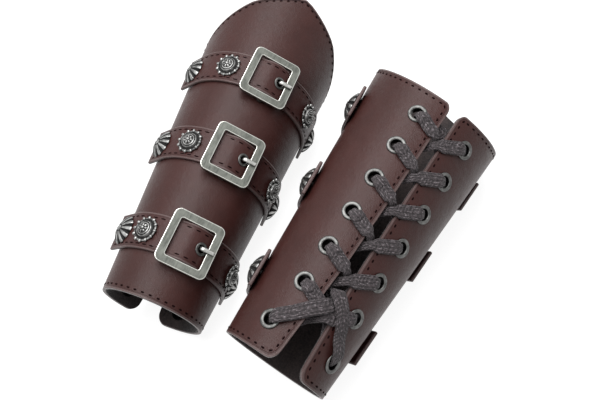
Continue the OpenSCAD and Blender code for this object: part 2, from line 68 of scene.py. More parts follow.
def add_camera():
    right, up, back = camera_axes()
    bpy.ops.object.camera_add(location=CAMERA_TARGET + back * CAMERA_DISTANCE)
    camera = bpy.context.object
    turned = Matrix((right, up, back)).transposed().to_4x4()
    camera.matrix_world = Matrix.Translation(camera.location) @ turned
    camera.data.lens = CAMERA_LENS
    camera.data.sensor_width = 36
    camera.data.clip_start = 0.01
    bpy.context.scene.camera = camera


add_camera()

# Sizes of one bracer, in millimetres, as the part has them

# Sleeve
WRIST_R = 40.5
ELBOW_R = 56
TAPER_H = 210
ARCH_TOP = 284
BACK_TOP = 215
WRIST_FRONT = {"left": -2, "right": 2.5}
WRIST_BACK = {"left": 3.5, "right": -6}
LEATHER_T = 2.6
LINING_T = 0.9
SKIN_GAP = 0.1
GAP_ELBOW = 4.3
GAP_WRIST = 9.6
FLAP_R = 9.5

# Lace and its eyelets
EYE_PAIRS = 7
EYE_FIRST = 16.6
EYE_SECOND = 48.8
EYE_PITCH = 29.25
EYE_SIDE = 22.4
EYE_SIDE_WRIST = 27.6
EYE_HOLE_R = 4.2
EYE_WALL = 0.7
EYE_RIM_R = 7
RIM_H = 1.1
FLANGE_T = 0.6
LACE_W = 10.4
LACE_GAP_W = LACE_W * 0.6
LACE_T = 1.7

# Straps
STRAP_Z = (46, 123.4, 197)
STRAP_W = 29.4
STRAP_T = 2.6
STRAP_WRAP = {-1: math.radians(69), 1: math.radians(80)}
STRAP_TAIL = 20
HOLE_X = 7.5
HOLE_R = 2.9
HOLE_RIM_R = 5
TIP_X = -18.5

# Buckles
WINDOW_W = 27.5
WINDOW_H = STRAP_W + 0.8
WINDOW_R = 1.6
BAR_W = 6.3
FRAME_T = 2.8
FRAME_H = 4.4
FRAME_EDGE = 0.7
CORNER_R = 5
PIVOT_R = 1.2
PIVOT_H = 2.5
PIVOT_PLAY = 0.06
PRONG_R = 1.1
PRONG_TOP_R = 1.4
PRONG_TIP_R = 1.2
PRONG_WIDE = 1.25

# Studs
STUD_BACK_R = 4.5
PETAL_R = 11.6
ROUND_X = {-1: 33.8, 1: 47.5}
PETAL_X = {-1: 6.5, 1: 8}

# How the pair lies
ROLL = math.radians(34)
SPLAY = math.radians(12.8)
PAIR_GAP = 109
PAIR_STEP = 11.3
FIRST_WRIST = (-78.67, -126.92)

SLOPE = math.atan((ELBOW_R - WRIST_R) / TAPER_H)
SHELL_T = LEATHER_T + SKIN_GAP + LINING_T
RIM_RISE = EYE_RIM_R ** 2 / (2 * WRIST_R)
LACE_OVER_RIM = RIM_H + RIM_RISE + LACE_T / 2 + 0.3
LEFT_REST = LACE_OVER_RIM + LACE_T / 2 - 0.1
HALF_FRAME = WINDOW_W / 2 + BAR_W
LOOP_R = PIVOT_R + PIVOT_PLAY + 1


def radius(z):
    return WRIST_R + (ELBOW_R - WRIST_R) * z / TAPER_H


def lerp(a, b, t):
    return a + (b - a) * t


def smooth(t):
    t = min(max(t, 0), 1)
    return t * t * (3 - 2 * t)


def bump(x, middle, width):
    return math.exp(-((x - middle) / width) ** 2)


RIGHT_REST = ((HALF_FRAME - FRAME_EDGE) * math.sin(ROLL) + (FRAME_H + FRAME_T) * math.cos(ROLL)
              - radius(STRAP_Z[0]) * (1 - math.cos(ROLL)))


def rotation(angle, axis):
    return Matrix.Rotation(angle, 4, axis)


def shift(x, y, z):
    return Matrix.Translation((x, y, z))


def pose(side):
    """Lays an upright bracer, in millimetres, down in the row frame, in metres."""
    lie = rotation(SLOPE, "X") @ rotation(ROLL + (math.pi if side == "right" else 0), "Y")
    lie = lie @ rotation(-math.pi / 2, "X")
    x, y = FIRST_WRIST
    height = WRIST_R / math.cos(SLOPE)
    if side == "left":
        place = shift(x, y, height + LEFT_REST)
    else:
        place = shift(x + PAIR_GAP, y - PAIR_STEP, height + RIGHT_REST)
        lie = rotation(-SPLAY, "Z") @ lie
    return Matrix.Scale(MM, 4) @ place @ lie


def on_face(angle, z):
    """X round the sleeve, Y up it and Z outwards, at a place on its face."""
    out = shift(0, -radius(z), z) @ rotation(math.pi / 2 + SLOPE, "X")
    return rotation(angle, "Z") @ out


def face_point(angle, z, lift):
    """A point off the sleeve's face, angle from the front."""
    r = radius(z) + lift * math.cos(SLOPE)
    return Vector((r * math.sin(angle), -r * math.cos(angle), z - lift * math.sin(SLOPE)))


# Modelling helpers

# Turns what stands up so that it lies across the strap
ACROSS = rotation(math.pi / 2, "X")


def choose(piece=None):
    """Selects one piece and nothing else."""
    bpy.ops.object.select_all(action="DESELECT")
    if piece:
        bpy.context.view_layer.objects.active = piece
        piece.select_set(True)


def new_piece(add, name="part", **settings):
    """Adds a mesh by one of Blender's own operators."""
    choose()
    add(**settings)
    piece = bpy.context.object
    piece.name = name
    return piece


def placed(piece, place):
    """Moves a piece's points and leaves its origin where it is."""
    piece.data.transform(place)
    return piece


def cylinder(r, length):
    return new_piece(bpy.ops.mesh.primitive_cylinder_add, vertices=32, radius=r, depth=length)


def edit(piece):
    choose(piece)
    bpy.ops.object.mode_set(mode="EDIT")
    bpy.ops.mesh.select_all(action="SELECT")


def leave_edit():
    bpy.ops.object.mode_set(mode="OBJECT")


def finish_with(piece, kind, **settings):
    """Adds a modifier and applies it."""
    choose(piece)
    modifier = piece.modifiers.new(kind, kind)
    for name, value in settings.items():
        setattr(modifier, name, value)
    bpy.ops.object.modifier_apply(modifier=modifier.name)
    return piece


def round_edges(piece, width, segments=3, degrees=50, **settings):
    """Bevels the edges that turn by more than an angle."""
    return finish_with(piece, "BEVEL", width=width, segments=segments, limit_method="ANGLE",
                       angle_limit=math.radians(degrees), **settings)


def close_up(piece, gap=0.001):
    """Merges points that meet and turns the faces outwards."""
    edit(piece)
    bpy.ops.mesh.remove_doubles(threshold=gap)
    bpy.ops.mesh.normals_make_consistent(inside=False)
    leave_edit()
    return piece


def cap_ends(piece):
    edit(piece)
    bpy.ops.mesh.select_all(action="DESELECT")
    bpy.ops.mesh.select_mode(type="EDGE")
    bpy.ops.mesh.select_non_manifold(extend=False)
    bpy.ops.mesh.fill_holes(sides=0)
    bpy.ops.mesh.select_mode(type="VERT")
    leave_edit()
    return close_up(piece)


def smooth_over(piece, degrees=40):
    choose(piece)
    bpy.ops.object.shade_smooth_by_angle(angle=math.radians(degrees))
    return piece


def grid(name, across, along, place):
    """A grid whose point at step i across and j along goes to place(i, j)."""
    piece = new_piece(bpy.ops.mesh.primitive_grid_add, name, size=2,
                      x_subdivisions=across, y_subdivisions=along)
    for vertex in piece.data.vertices:
        i = round((vertex.co.x + 1) / 2 * across)
        j = round((vertex.co.y + 1) / 2 * along)
        vertex.co = place(i, j)
    return piece


def tube(name, rings, sides, ring_point):
    """A closed tube through rings, ring_point(i, j) giving point i of ring j."""
    piece = grid(name, sides, rings, lambda i, j: ring_point(i % sides, j))
    return cap_ends(close_up(piece))


def turned(name, profile, sides):
    """Turns a profile of (radius, height) points about Z: a circle, extruded and scaled ring by ring."""
    piece = new_piece(bpy.ops.mesh.primitive_circle_add, name, vertices=sides, radius=profile[0][0])
    edit(piece)
    bpy.ops.transform.translate(value=(0, 0, profile[0][1]))
    for (r0, z0), (r1, z1) in zip(profile, profile[1:]):
        bpy.ops.mesh.extrude_region_move(TRANSFORM_OT_translate={"value": (0, 0, z1 - z0)})
        bpy.ops.transform.resize(value=(r1 / r0, r1 / r0, 1), center_override=(0, 0, z1))
    leave_edit()
    return piece


def turned_solid(name, profile, sides):
    """A turned piece closed at both ends of its profile."""
    return cap_ends(turned(name, profile, sides))


def turned_ring(name, profile, sides):
    """A turned ring, whose profile comes back to its start."""
    return close_up(turned(name, profile + profile[:1], sides))


def reshape(piece, place):
    for vertex in piece.data.vertices:
        vertex.co = place(vertex.co)
    return piece


def mark(piece, name, value):
    """Keeps a number for each point, which the finish reads."""
    layer = piece.data.attributes.get(name) or piece.data.attributes.new(name, "FLOAT", "POINT")
    layer.data.foreach_set("value", [value(vertex.co) for vertex in piece.data.vertices])
    return piece


def copy_of(piece, name, place):
    """A copy with its own mesh, put in its place."""
    twin = piece.copy()
    twin.data = piece.data.copy()
    twin.name = name
    twin.data.name = name
    bpy.context.collection.objects.link(twin)
    return placed(twin, place)


def many(name, places, *models):
    """One piece made of a copy of each model at each place. It uses the models up."""
    parts = [copy_of(model, name, place) for model in models for place in places]
    for model in models:
        bpy.data.objects.remove(model)
    return joined(name, parts)


def joined(name, pieces):
    choose(pieces[0])
    for piece in pieces:
        piece.select_set(True)
    if len(pieces) > 1:
        bpy.ops.object.join()
    whole = bpy.context.object
    whole.name = name
    return whole


def scattered(name, model, places):
    """One mesh of many copies of a small model, which it uses up."""
    points = [vertex.co.copy() for vertex in model.data.vertices]
    faces = [tuple(face.vertices) for face in model.data.polygons]
    mesh = bpy.data.meshes.new(name)
    mesh.from_pydata([place @ point for place in places for point in points], [],
                     [tuple(index + k * len(points) for index in face)
                      for k in range(len(places)) for face in faces])
    piece = bpy.data.objects.new(name, mesh)
    bpy.context.collection.objects.link(piece)
    bpy.data.objects.remove(model)
    return piece


def lying(x, out, at):
    """A matrix that turns X along one direction and Z outwards, at a point."""
    turn = Matrix((x, out.cross(x), out)).transposed().to_4x4()
    return Matrix.Translation(at) @ turn


# Outline of the sleeve, in the chart (distance round from the front, height)

def corner(a, b, c, r, n=8):
    """Points round the corner b of a path a, b, c."""
    u, v = (a - b).normalized(), (c - b).normalized()
    half = math.acos(u.dot(v)) / 2
    centre = b + (u + v).normalized() * r / math.sin(half)
    start, end = b + u * r / math.tan(half) - centre, b + v * r / math.tan(half) - centre
    return [centre + start.lerp(end, i / n).normalized() * r for i in range(n + 1)]


def wrist_height(which, angle):
    front, back = WRIST_FRONT[which], WRIST_BACK[which]
    return (front + back) / 2 + (front - back) / 2 * math.cos(angle)


def bow(start, pull, end):
    """The three terms of a curve from start to end that is pulled to one side."""
    return start, 2 * (pull - start), start - 2 * pull + end


# The elbow edge: a bow seen from the side, and in front two shoulders with a round point between them
ARCH_Y = bow(-ELBOW_R - 7, -36, ELBOW_R + 2)
ARCH_Z = bow(ARCH_TOP + 4, 246, BACK_TOP - 1)
SHOULDER_TOP = 284.9
SHOULDER_FALL = 0.42
POINT_R = 9
POINT_MIDDLE = 275.14
POINT_HALF = 3.49


def point_height(x):
    """Height of the soft point at a distance from the middle of the front."""
    if x < POINT_HALF:
        return POINT_MIDDLE + math.sqrt(POINT_R ** 2 - x * x)
    return SHOULDER_TOP - SHOULDER_FALL * x


def top_height(angle):
    """Height of the elbow edge, come to in rounds, since the radius changes with the height."""
    a, b, c = ARCH_Y
    z = 250
    for _ in range(12):
        x, y = radius(z) * abs(math.sin(angle)), -radius(z) * math.cos(angle)
        t = (-b + math.sqrt(b * b + 4 * c * (y - a))) / (2 * c)
        z = ARCH_Z[0] + ARCH_Z[1] * t + ARCH_Z[2] * t * t
        if y < 0:
            z = min(z, point_height(x))
    return z


def seam_angle(x, z):
    return math.pi - math.asin(x / radius(z))


def chart(angle, z):
    return Vector((angle * radius(z), z))


def flap_corner(path, r, keep):
    """Chart points round a flap's corner, its path given as distances from the seam and heights."""
    points = corner(*(Vector(p) for p in path), r)
    return [chart(seam_angle(p.x, p.y), keep(p.y, seam_angle(p.x, p.y))) for p in points]


def lengths(path):
    total = [0.0]
    for a, b in zip(path, path[1:]):
        total.append(total[-1] + (b - a).length)
    return total


def along(path, distances):
    """Points of a path at distances from its start."""
    total = lengths(path)
    points, k = [], 0
    for d in distances:
        d = min(max(d, 0), total[-1])
        while k < len(total) - 2 and total[k + 1] < d:
            k += 1
        points.append(path[k].lerp(path[k + 1], (d - total[k]) / (total[k + 1] - total[k])))
    return points


NEAR_EDGE = (0, 1.1, 2.4, 3.9, 6, 9, 13)


def spaced(length, steps, both):
    """Distances along an edge, close together near its ends."""
    start = list(NEAR_EDGE) if both else [0]
    end = [length - d for d in NEAR_EDGE[::-1]]
    middle = [lerp(start[-1], end[0], k / steps) for k in range(1, steps)]
    return start + middle + end


ROUND_STEPS = 120

# By the seam, as distances from it and heights: where the flap's corners begin, and the edge between them
WRIST_CORNER = (20.5, 0)
ELBOW_CORNER = (14, BACK_TOP)
SEAM_EDGE = ((5.1, 78), (4.6, 120))


class Outline:
    """The outline of half a sleeve and a patch of points within it, both in the chart."""

    def __init__(self, which):
        low_z, high_z = WRIST_BACK[which] - 0.6, BACK_TOP + 1
        low_path = (GAP_WRIST + 10, low_z), (GAP_WRIST, low_z), (GAP_WRIST - 1, 28)
        high_path = (GAP_ELBOW, 100), (GAP_ELBOW, high_z), (GAP_ELBOW + 10, high_z)
        low = flap_corner(low_path, FLAP_R, lambda z, a: max(z, wrist_height(which, a)))
        high = flap_corner(high_path, FLAP_R - 1, lambda z, a: min(z, top_height(a)))
        steps = [i / ROUND_STEPS for i in range(ROUND_STEPS + 1)]
        wrist = [chart(a, wrist_height(which, a)) for a in (t * seam_angle(*WRIST_CORNER) for t in steps)]
        elbow = [chart(a, top_height(a)) for a in (t * seam_angle(*ELBOW_CORNER) for t in steps)]
        seam = [chart(seam_angle(x, z), z) for x, z in SEAM_EDGE]
        self.path = wrist + low + seam + high + elbow[::-1]
        self.patch = half_patch(wrist + low[:5], low[4:] + seam + high[:5], elbow + high[:3:-1])
        self.edge = [[self.distance(point) for point in row] for row in self.patch]

    def distance(self, point):
        """Distance of a chart point from the outline."""
        best = math.inf
        for a, b in zip(self.path, self.path[1:]):
            side = b - a
            if side.length_squared > 1e-9:
                t = min(max((point - a).dot(side) / side.length_squared, 0), 1)
                best = min(best, (point - a - side * t).length)
        return best


def half_patch(bottom_path, flap, top_path, columns=26, rows=42):
    """Rows of chart points that fill half the sleeve from the front to the flap's edge."""
    centre = [Vector((0, bottom_path[0].y)), Vector((0, top_path[0].y))]
    sides = []
    for path, steps, both in ((bottom_path, columns, False), (top_path, columns, False), (centre, rows, True),
                              (flap, rows, True)):
        length = lengths(path)[-1]
        distances = spaced(length, steps, both)
        sides.append((along(path, distances), [d / length for d in distances]))
    (bottom, ub), (top, ut), (left, vl), (right, vr) = sides

    def point(i, j):
        u = lerp(ub[i], ut[i], vr[j])
        v = lerp(vl[j], vr[j], u)
        ends = (bottom[0] * (1 - u) + bottom[-1] * u) * (1 - v) + (top[0] * (1 - u) + top[-1] * u) * v
        return bottom[i] * (1 - v) + top[i] * v + left[j] * (1 - u) + right[j] * u - ends
    return [[point(i, j) for i in range(len(ub))] for j in range(len(vl))]


OUTLINES = {which: Outline(which) for which in SIDES}


# Radii of the leathers' round rims
SLEEVE_RIM = 0.75
LINING_RIM = 0.25
STRAP_RIM = 0.95

# The darker band in the crease beside the elbow edge, painted shade, fades in from this height up, over this
# length
ARCH_FROM = BACK_TOP + 8
ARCH_FADE = 15


def thickened(piece, columns, edge, thickness, rim):
    """Gives a grid its thickness and round rim; edge(i, j) is how far its points are from the rim."""
    near = piece.data.attributes.new("edge", "FLOAT", "POINT")
    for index in range(len(piece.data.vertices)):
        near.data[index].value = edge(index % columns, index // columns)
    finish_with(piece, "SOLIDIFY", thickness=thickness, offset=-1, use_even_offset=True)
    round_edges(piece, rim)
    return close_up(piece, 0.0001)


def sleeve_sheet(name, outline, lift, thickness, rim):
    """The flap of leather wrapped round the forearm, at a distance off the sleeve's face."""
    rows, half = len(outline.patch), len(outline.patch[0])

    def place(i, j):
        column, side = (half - 1 - i, -1) if i < half else (i - half + 1, 1)
        s, z = outline.patch[j][column]
        return face_point(side * s / radius(z), z, lift)
    piece = grid(name, 2 * half - 2, rows - 1, place)
    mark(piece, "arch", lambda co: smooth((co.z - ARCH_FROM) / ARCH_FADE))
    return thickened(piece, 2 * half - 1, lambda i, j: outline.edge[j][abs(i - half + 1)], thickness, rim)


def eye_height(i):
    """Height of an eyelet, counted from the elbow; the last ones, at the wrist, stand by themselves."""
    return EYE_FIRST if i == EYE_PAIRS - 1 else EYE_SECOND + (EYE_PAIRS - 2 - i) * EYE_PITCH


def eye_side(i):
    """Distance of an eyelet from the seam."""
    return EYE_SIDE_WRIST if i == EYE_PAIRS - 1 else EYE_SIDE


def eye_places():
    return [on_face(math.pi + side * eye_side(i) / radius(eye_height(i)), eye_height(i))
            for side in (-1, 1) for i in range(EYE_PAIRS)]


def drilled(piece, places, r):
    """A piece with round holes of a radius through it."""
    tool = joined("drills", [placed(cylinder(r, 20), place) for place in places])
    finish_with(piece, "BOOLEAN", operation="DIFFERENCE", solver="EXACT", object=tool)
    bpy.data.objects.remove(tool)
    return smooth_over(piece)


def drilled_sheets(name, lift, thickness, rim):
    """The left and the right bracer's sheet, with holes for the lace eyelets."""
    sheets = {}
    for which in SIDES:
        sheet = sleeve_sheet(name, OUTLINES[which], lift, thickness, rim)
        sheets[which] = drilled(sheet, eye_places(), EYE_HOLE_R + EYE_WALL + 0.1)
    return sheets


# Straps: a band that lies on the sleeve, its stations running round it from the buckle's middle

# Distances from its rim at which a strap's mesh has lines, and the steps between those of its two ends
BAND_EDGE = (0, 0.9, 1.8, 2.7, 3.8, 6)
BAND_STEPS = 56

# How far from the centre bar the holed strap has come down, away from its tip and towards it
STRAP_DOWN = 24
TIP_DOWN = 11


def strap_lift(x):
    """Height of the holed strap's underside over the sleeve, x from the centre bar."""
    top = PIVOT_H + LOOP_R + SKIN_GAP
    low, down = (SKIN_GAP, STRAP_DOWN) if x >= 0 else (STRAP_T + 2 * SKIN_GAP, TIP_DOWN)
    return lerp(low, top, (1 + math.cos(math.pi * min(abs(x) / down, 1))) / 2)


def holed_top(x):
    """Height of the holed strap's upper face over the sleeve."""
    return strap_lift(x) + STRAP_T


def flat_top(x):
    """Height of the upper face of a strap that lies on the sleeve."""
    return SKIN_GAP + STRAP_T


def wrap_end(side, z):
    return STRAP_WRAP[side] * radius(z)


def band_point(side, middle, distance, lift, across):
    """A point of a strap: distance round from the front, lift off the sleeve, across from its middle."""
    end = wrap_end(side, middle)
    tail = max(distance - end, 0)
    angle = side * min(distance, end) / radius(middle)
    z = middle + across
    r = radius(z) + lift * math.cos(SLOPE)
    return Vector((r * math.sin(angle) + side * tail * math.cos(angle),
                   -r * math.cos(angle) + side * tail * math.sin(angle), z - lift * math.sin(SLOPE)))


def band(name, side, k, start, top):
    """A strap from start round to its tip; top(x) is the height of its upper face."""
    middle = STRAP_Z[k]
    end = wrap_end(side, middle) + STRAP_TAIL
    half = [STRAP_W / 2 - d for d in BAND_EDGE]
    across = [-w for w in half] + [half[-1] * (t / 2 - 1) for t in range(1, 4)] + half[::-1]
    if side > 0:
        across.reverse()
    near_start, near_end = [start + d for d in BAND_EDGE[:4]], [end - d for d in BAND_EDGE[3::-1]]
    between = [lerp(near_start[-1], near_end[0], t / BAND_STEPS) for t in range(1, BAND_STEPS)]
    stations = near_start + between + near_end

    def place(i, j):
        return band_point(side, middle, stations[j], top(stations[j]), across[i])

    def edge(i, j):
        return min(STRAP_W / 2 - abs(across[i]), end - stations[j], stations[j] - start)
    piece = grid(name, len(across) - 1, len(stations) - 1, place)
    return thickened(piece, len(across), edge, STRAP_T, STRAP_RIM)


def hole_place(k):
    slope = math.atan(strap_lift(HOLE_X + 0.5) - strap_lift(HOLE_X - 0.5))
    place = on_face(HOLE_X / radius(STRAP_Z[k]), STRAP_Z[k])
    return place @ shift(0, 0, strap_lift(HOLE_X) + STRAP_T / 2) @ rotation(-slope, "Y")


def holed_strap(k):
    return drilled(band("holed_strap", 1, k, TIP_X, holed_top), [hole_place(k)], HOLE_R + 0.6)


def pivot_ring(name, outer, width, soft=0.3):
    """A ring that turns on the centre bar, with soft outer edges."""
    inner, half = PIVOT_R + PIVOT_PLAY, width / 2
    profile = [(inner, -half), (outer - soft, -half), (outer, -half + soft)]
    profile += [(r, -h) for r, h in reversed(profile)]
    return placed(turned_ring(name, profile, 32), shift(0, 0, PIVOT_H) @ ACROSS)


def buckle_strap(k):
    """The left strap, with its end looped round the centre bar and slotted for the prong."""
    def top(x):
        return flat_top(x) + 0.6 * smooth((9 - x) / 6)
    slot = 2 * PRONG_R + 1.6
    width = (STRAP_W - slot) / 2
    parts = [band("buckle_strap", -1, k, 2.4, top)]
    for side in (-1, 1):
        place = on_face(0, STRAP_Z[k]) @ shift(0, side * (slot + width) / 2, 0)
        ring = placed(pivot_ring("loop", LOOP_R, width), place)
        parts.append(mark(ring, "edge", lambda co: 4))
    return smooth_over(joined("buckle_strap", parts))


def strap_eyelet():
    seat, under, lip = STRAP_T / 2 + 0.15, -STRAP_T / 2 - 0.4, 0.72
    profile = [(HOLE_R, under - 0.4), (HOLE_RIM_R, under - 0.4), (HOLE_RIM_R, under), (HOLE_R + 0.5, under),
               (HOLE_R + 0.5, seat), (HOLE_RIM_R, seat), (HOLE_RIM_R + 0.05, seat + 0.2),
               (HOLE_RIM_R - 0.15, seat + 0.5), (HOLE_RIM_R - 0.6, seat + lip), (HOLE_R + 0.6, seat + lip),
               (HOLE_R + 0.2, seat + 0.55), (HOLE_R, seat + 0.2)]
    ring = smooth_over(turned_ring("strap_eyelet", profile, 40), 50)
    # The gunmetal finish darkens the rim towards its foot by this number: painted shade and a painted
    # reflection of the leather.
    return mark(ring, "recess", lambda co: 1 - (co.z - seat) / lip)


# Buckle

def rounded_plane(name, w, h, r):
    """A flat rectangle with rounded corners."""
    piece = new_piece(bpy.ops.mesh.primitive_plane_add, name, size=1)
    edit(piece)
    bpy.ops.transform.resize(value=(w, h, 1))
    bpy.ops.mesh.bevel(offset=r, offset_type="OFFSET", segments=7, affect="VERTICES")
    bpy.ops.mesh.delete(type="ONLY_FACE")
    leave_edit()
    return piece


def from_rounded(co, w, h, r):
    """Distance of a point from a rectangle with rounded corners, below 0 inside it."""
    x, y = abs(co.x) - w / 2 + r, abs(co.y) - h / 2 + r
    return math.hypot(max(x, 0), max(y, 0)) + min(max(x, y), 0) - r


def buckle_frame():
    """A flat square frame with rounded edges, which the finish brightens as a painted highlight, and its low
    centre bar on two lugs.
    """
    w, h = 2 * HALF_FRAME, WINDOW_H + 2 * BAR_W
    flat = joined("buckle_frame", [rounded_plane("outer", w, h, CORNER_R),
                                   rounded_plane("inner", WINDOW_W, WINDOW_H, WINDOW_R)])
    edit(flat)
    bpy.ops.mesh.bridge_edge_loops()
    bpy.ops.mesh.select_all(action="SELECT")
    bpy.ops.mesh.extrude_region_move(TRANSFORM_OT_translate={"value": (0, 0, FRAME_T)})
    leave_edit()
    round_edges(close_up(flat), 0.9, 4, 60, profile=0.8)

    def edge(co):
        if co.z < FRAME_T - 0.6:
            return 1.5
        return min(-from_rounded(co, w, h, CORNER_R), from_rounded(co, WINDOW_W, WINDOW_H, WINDOW_R))
    # The finish brightens the frame where this distance from its rims is small: a painted highlight.
    mark(flat, "edge", edge)
    parts = [placed(flat, shift(0, 0, FRAME_H))]
    for side in (-1, 1):
        lug = placed(cylinder(2, BAR_W - 1), ACROSS)
        reshape(lug, lambda co: Vector((co.x, co.y, co.z if co.z < 0 else FRAME_H - PIVOT_H + 0.3)))
        placed(lug, shift(0, side * (WINDOW_H + BAR_W) / 2, PIVOT_H))
        parts.append(mark(round_edges(lug, 0.3, 2), "edge", lambda co: 1.5))
    bar = placed(cylinder(PIVOT_R, WINDOW_H + 2), shift(0, 0, PIVOT_H) @ ACROSS)
    parts.append(mark(bar, "edge", lambda co: 1.5))
    return smooth_over(joined("buckle_frame", parts), 35)


def prong():
    """A bent, tapered rod that turns on the centre bar and rests on the right bar of the frame."""
    rest = FRAME_H + FRAME_T + PRONG_TOP_R + 0.1
    path = [Vector(p) for p in ((0.6, PIVOT_H - 0.3), (HOLE_X - 1, PIVOT_H - 0.45),
                                (HOLE_X + 1.8, rest - 0.3), (WINDOW_W / 2 + BAR_W * 0.7, rest - 0.1))]
    route = [path[0]] + corner(*path[:3], 1.8) + corner(*path[1:], 2.6) + [path[3]]
    steps, sides, grow_from, grown = 40, 20, 18, 24
    fine = along(route, [lengths(route)[-1] * t / steps for t in range(steps + 1)])
    rings = []
    for j, point in enumerate(fine):
        ahead = (fine[min(j + 1, steps)] - fine[max(j - 1, 0)]).normalized()
        if j < grown:
            r = lerp(PRONG_R, PRONG_TOP_R, smooth((j - grow_from) / (grown - grow_from)))
        else:
            r = lerp(PRONG_TOP_R, PRONG_TIP_R, (j - grown) / (steps - grown))
        rings.append((point, ahead, r))
    tip, ahead = rings[-1][:2]
    for turn in (25, 50, 72, 86):
        a = math.radians(turn)
        rings.append((tip + ahead * PRONG_TIP_R * math.sin(a), ahead, PRONG_TIP_R * math.cos(a)))

    def ring_point(i, j):
        point, ahead, r = rings[j]
        a = 2 * math.pi * i / sides
        flat = point + Vector((-ahead.y, ahead.x)) * r * math.cos(a)
        return Vector((flat.x, PRONG_WIDE * r * math.sin(a), flat.y))
    rod = tube("prong", len(rings) - 1, sides, ring_point)
    return smooth_over(joined("prong", [rod, pivot_ring("ring", PIVOT_R + 0.96, 2 * PRONG_R)]), 45)


# Studs

BEADS = 12
STUD_RIBS = 30
ROSETTE_LEAVES = 7
PETALS = 11


def polar(co):
    return math.hypot(co.x, co.y), math.atan2(co.y, co.x)


def round_stud():
    """A disc with a ring of beads, a deep ribbed groove, two raised rings and a rosette in the middle."""
    rim = [(8.7, 0.1), (9.4, 0.1), (9.6, 0.35), (9.6, 0.75), (9.3, 1.05), (8.6, 1.2), (8.0, 1.1), (7.5, 0.8)]
    outer_ring = [(6.9, 0.8), (6.5, 1.3), (6.35, 2.2), (6.1, 2.8), (5.8, 2.95), (5.5, 2.7), (5.35, 2.3)]
    inner_ring = [(5.2, 2.3), (5.05, 2.7), (4.85, 3.2), (4.55, 3.5), (4.2, 3.55), (3.95, 3.35)]
    rosette = [(3.75, 3.3), (3.5, 3.6), (3.1, 4.0), (2.6, 4.3), (2.1, 4.45), (1.75, 4.4)]
    boss = [(1.5, 4.35), (1.25, 4.7), (0.9, 5.1), (0.5, 5.35), (0.05, 5.45)]
    disc = turned_solid("round_stud", rim + outer_ring + inner_ring + rosette + boss, 120)

    def ribbed(co):
        r, a = polar(co)
        if co.z < 0.5:
            return co
        ribs = 0.3 * math.cos(STUD_RIBS * a) * bump(r, 7.2, 0.5)
        leaves = 0.3 * math.cos(ROSETTE_LEAVES * a) * bump(r, 2.8, 0.9)
        return co + Vector((0, 0, ribs + leaves))

    def recess(co):
        r, a = polar(co)
        if co.z < 0.3:
            return 0.8
        leaves = smooth(0.35 - math.cos(ROSETTE_LEAVES * a)) * bump(r, 2.8, 0.8)
        outside = 0.35 * smooth((r - 8.1) / 0.3)
        furrows = [bump(r, at, width) for at, width in ((7.4, 0.95), (5.3, 0.35), (3.85, 0.3), (1.6, 0.3))]
        return max(leaves, outside, *furrows)
    mark(disc, "recess", recess)
    parts = [reshape(disc, ribbed)]
    for k in range(BEADS):
        bead = new_piece(bpy.ops.mesh.primitive_uv_sphere_add, segments=14, ring_count=9, radius=1.3)
        place = rotation(2 * math.pi * k / BEADS, "Z") @ shift(9.25, 0, 1.15)
        placed(bead, place @ Matrix.Diagonal((1.1, 0.95, 0.9, 1)))
        parts.append(mark(bead, "recess", lambda co: 0.9 * smooth((1.5 - co.z) / 0.8)))
    return smooth_over(placed(joined("round_stud", parts), shift(0, 0, 0.1)), 60)


def petal_stud():
    """A domed daisy: petals with deep grooves between, and a round boss in the middle."""
    profile = [(PETAL_R - 1.2, 0.1), (PETAL_R - 0.15, 0.15), (PETAL_R, 0.5), (PETAL_R - 0.08, 0.9)]
    steps = 26
    for t in (k / steps for k in range(1, steps + 1)):
        profile.append(((PETAL_R - 0.1) * (1 - t) + 0.05 * t, 0.9 + 4.4 * math.sin(math.pi / 2 * t ** 0.8)))
    disc = turned_solid("petal_stud", profile, PETALS * 16)

    def petal(co):
        r, a = polar(co)
        crest = abs(math.cos(PETALS * a / 2))
        groove = (1 - smooth((crest - 0.2) / 0.65)) * smooth((r - 2.6) / 1.2)
        rim = 1 - 0.12 * (1 - crest) ** 1.3 * smooth((r - 6.5) / 4)
        ring = 0.6 * bump(r, 2.7, 0.42) * (co.z > 1)
        boss = 0.3 * smooth((2.2 - r) / 0.8)
        up = 0 if co.z < 0.6 else boss - ring - (0.5 + 0.8 * min(r / PETAL_R, 1)) * groove - 0.1
        return Vector((co.x * rim, co.y * rim, max(co.z + up, 0.1)))

    def recess(co):
        r, a = polar(co)
        crest = abs(math.cos(PETALS * a / 2))
        groove = (1 - smooth((crest - 0.5) / 0.4)) * smooth((r - 2.4) / 0.8)
        return max(groove, bump(r, 2.7, 0.5), 0.8 * (co.z < 0.5))
    mark(disc, "recess", recess)
    return smooth_over(placed(reshape(disc, petal), shift(0, 0, 0.05)), 60)


def shell_depth(reach):
    """How far under the sleeve's face something flat, of a half width, clears the lining at the wrist."""
    return SHELL_T + reach ** 2 / (2 * (WRIST_R - SHELL_T)) + 0.05


def post(reach):
    """The post under a stud, down through strap, sleeve and lining."""
    pin = turned_solid("post", [(1.5, -shell_depth(reach) - STRAP_T - SKIN_GAP), (1.5, 0.3)], 20)
    return mark(pin, "recess", lambda co: 0.5)


def stud_places():
    rounds, petals = [], []
    for side in (-1, 1):
        for z in STRAP_Z:
            top = shift(0, 0, SKIN_GAP + STRAP_T)
            rounds.append(on_face(side * ROUND_X[side] / radius(z), z) @ top)
            leaving = on_face(side * STRAP_WRAP[side], z)
            petals.append(leaving @ shift(side * PETAL_X[side], 0, 0) @ top)
    return rounds, petals


# Lace eyelets

INNER_RIM_H = shell_depth(EYE_RIM_R)


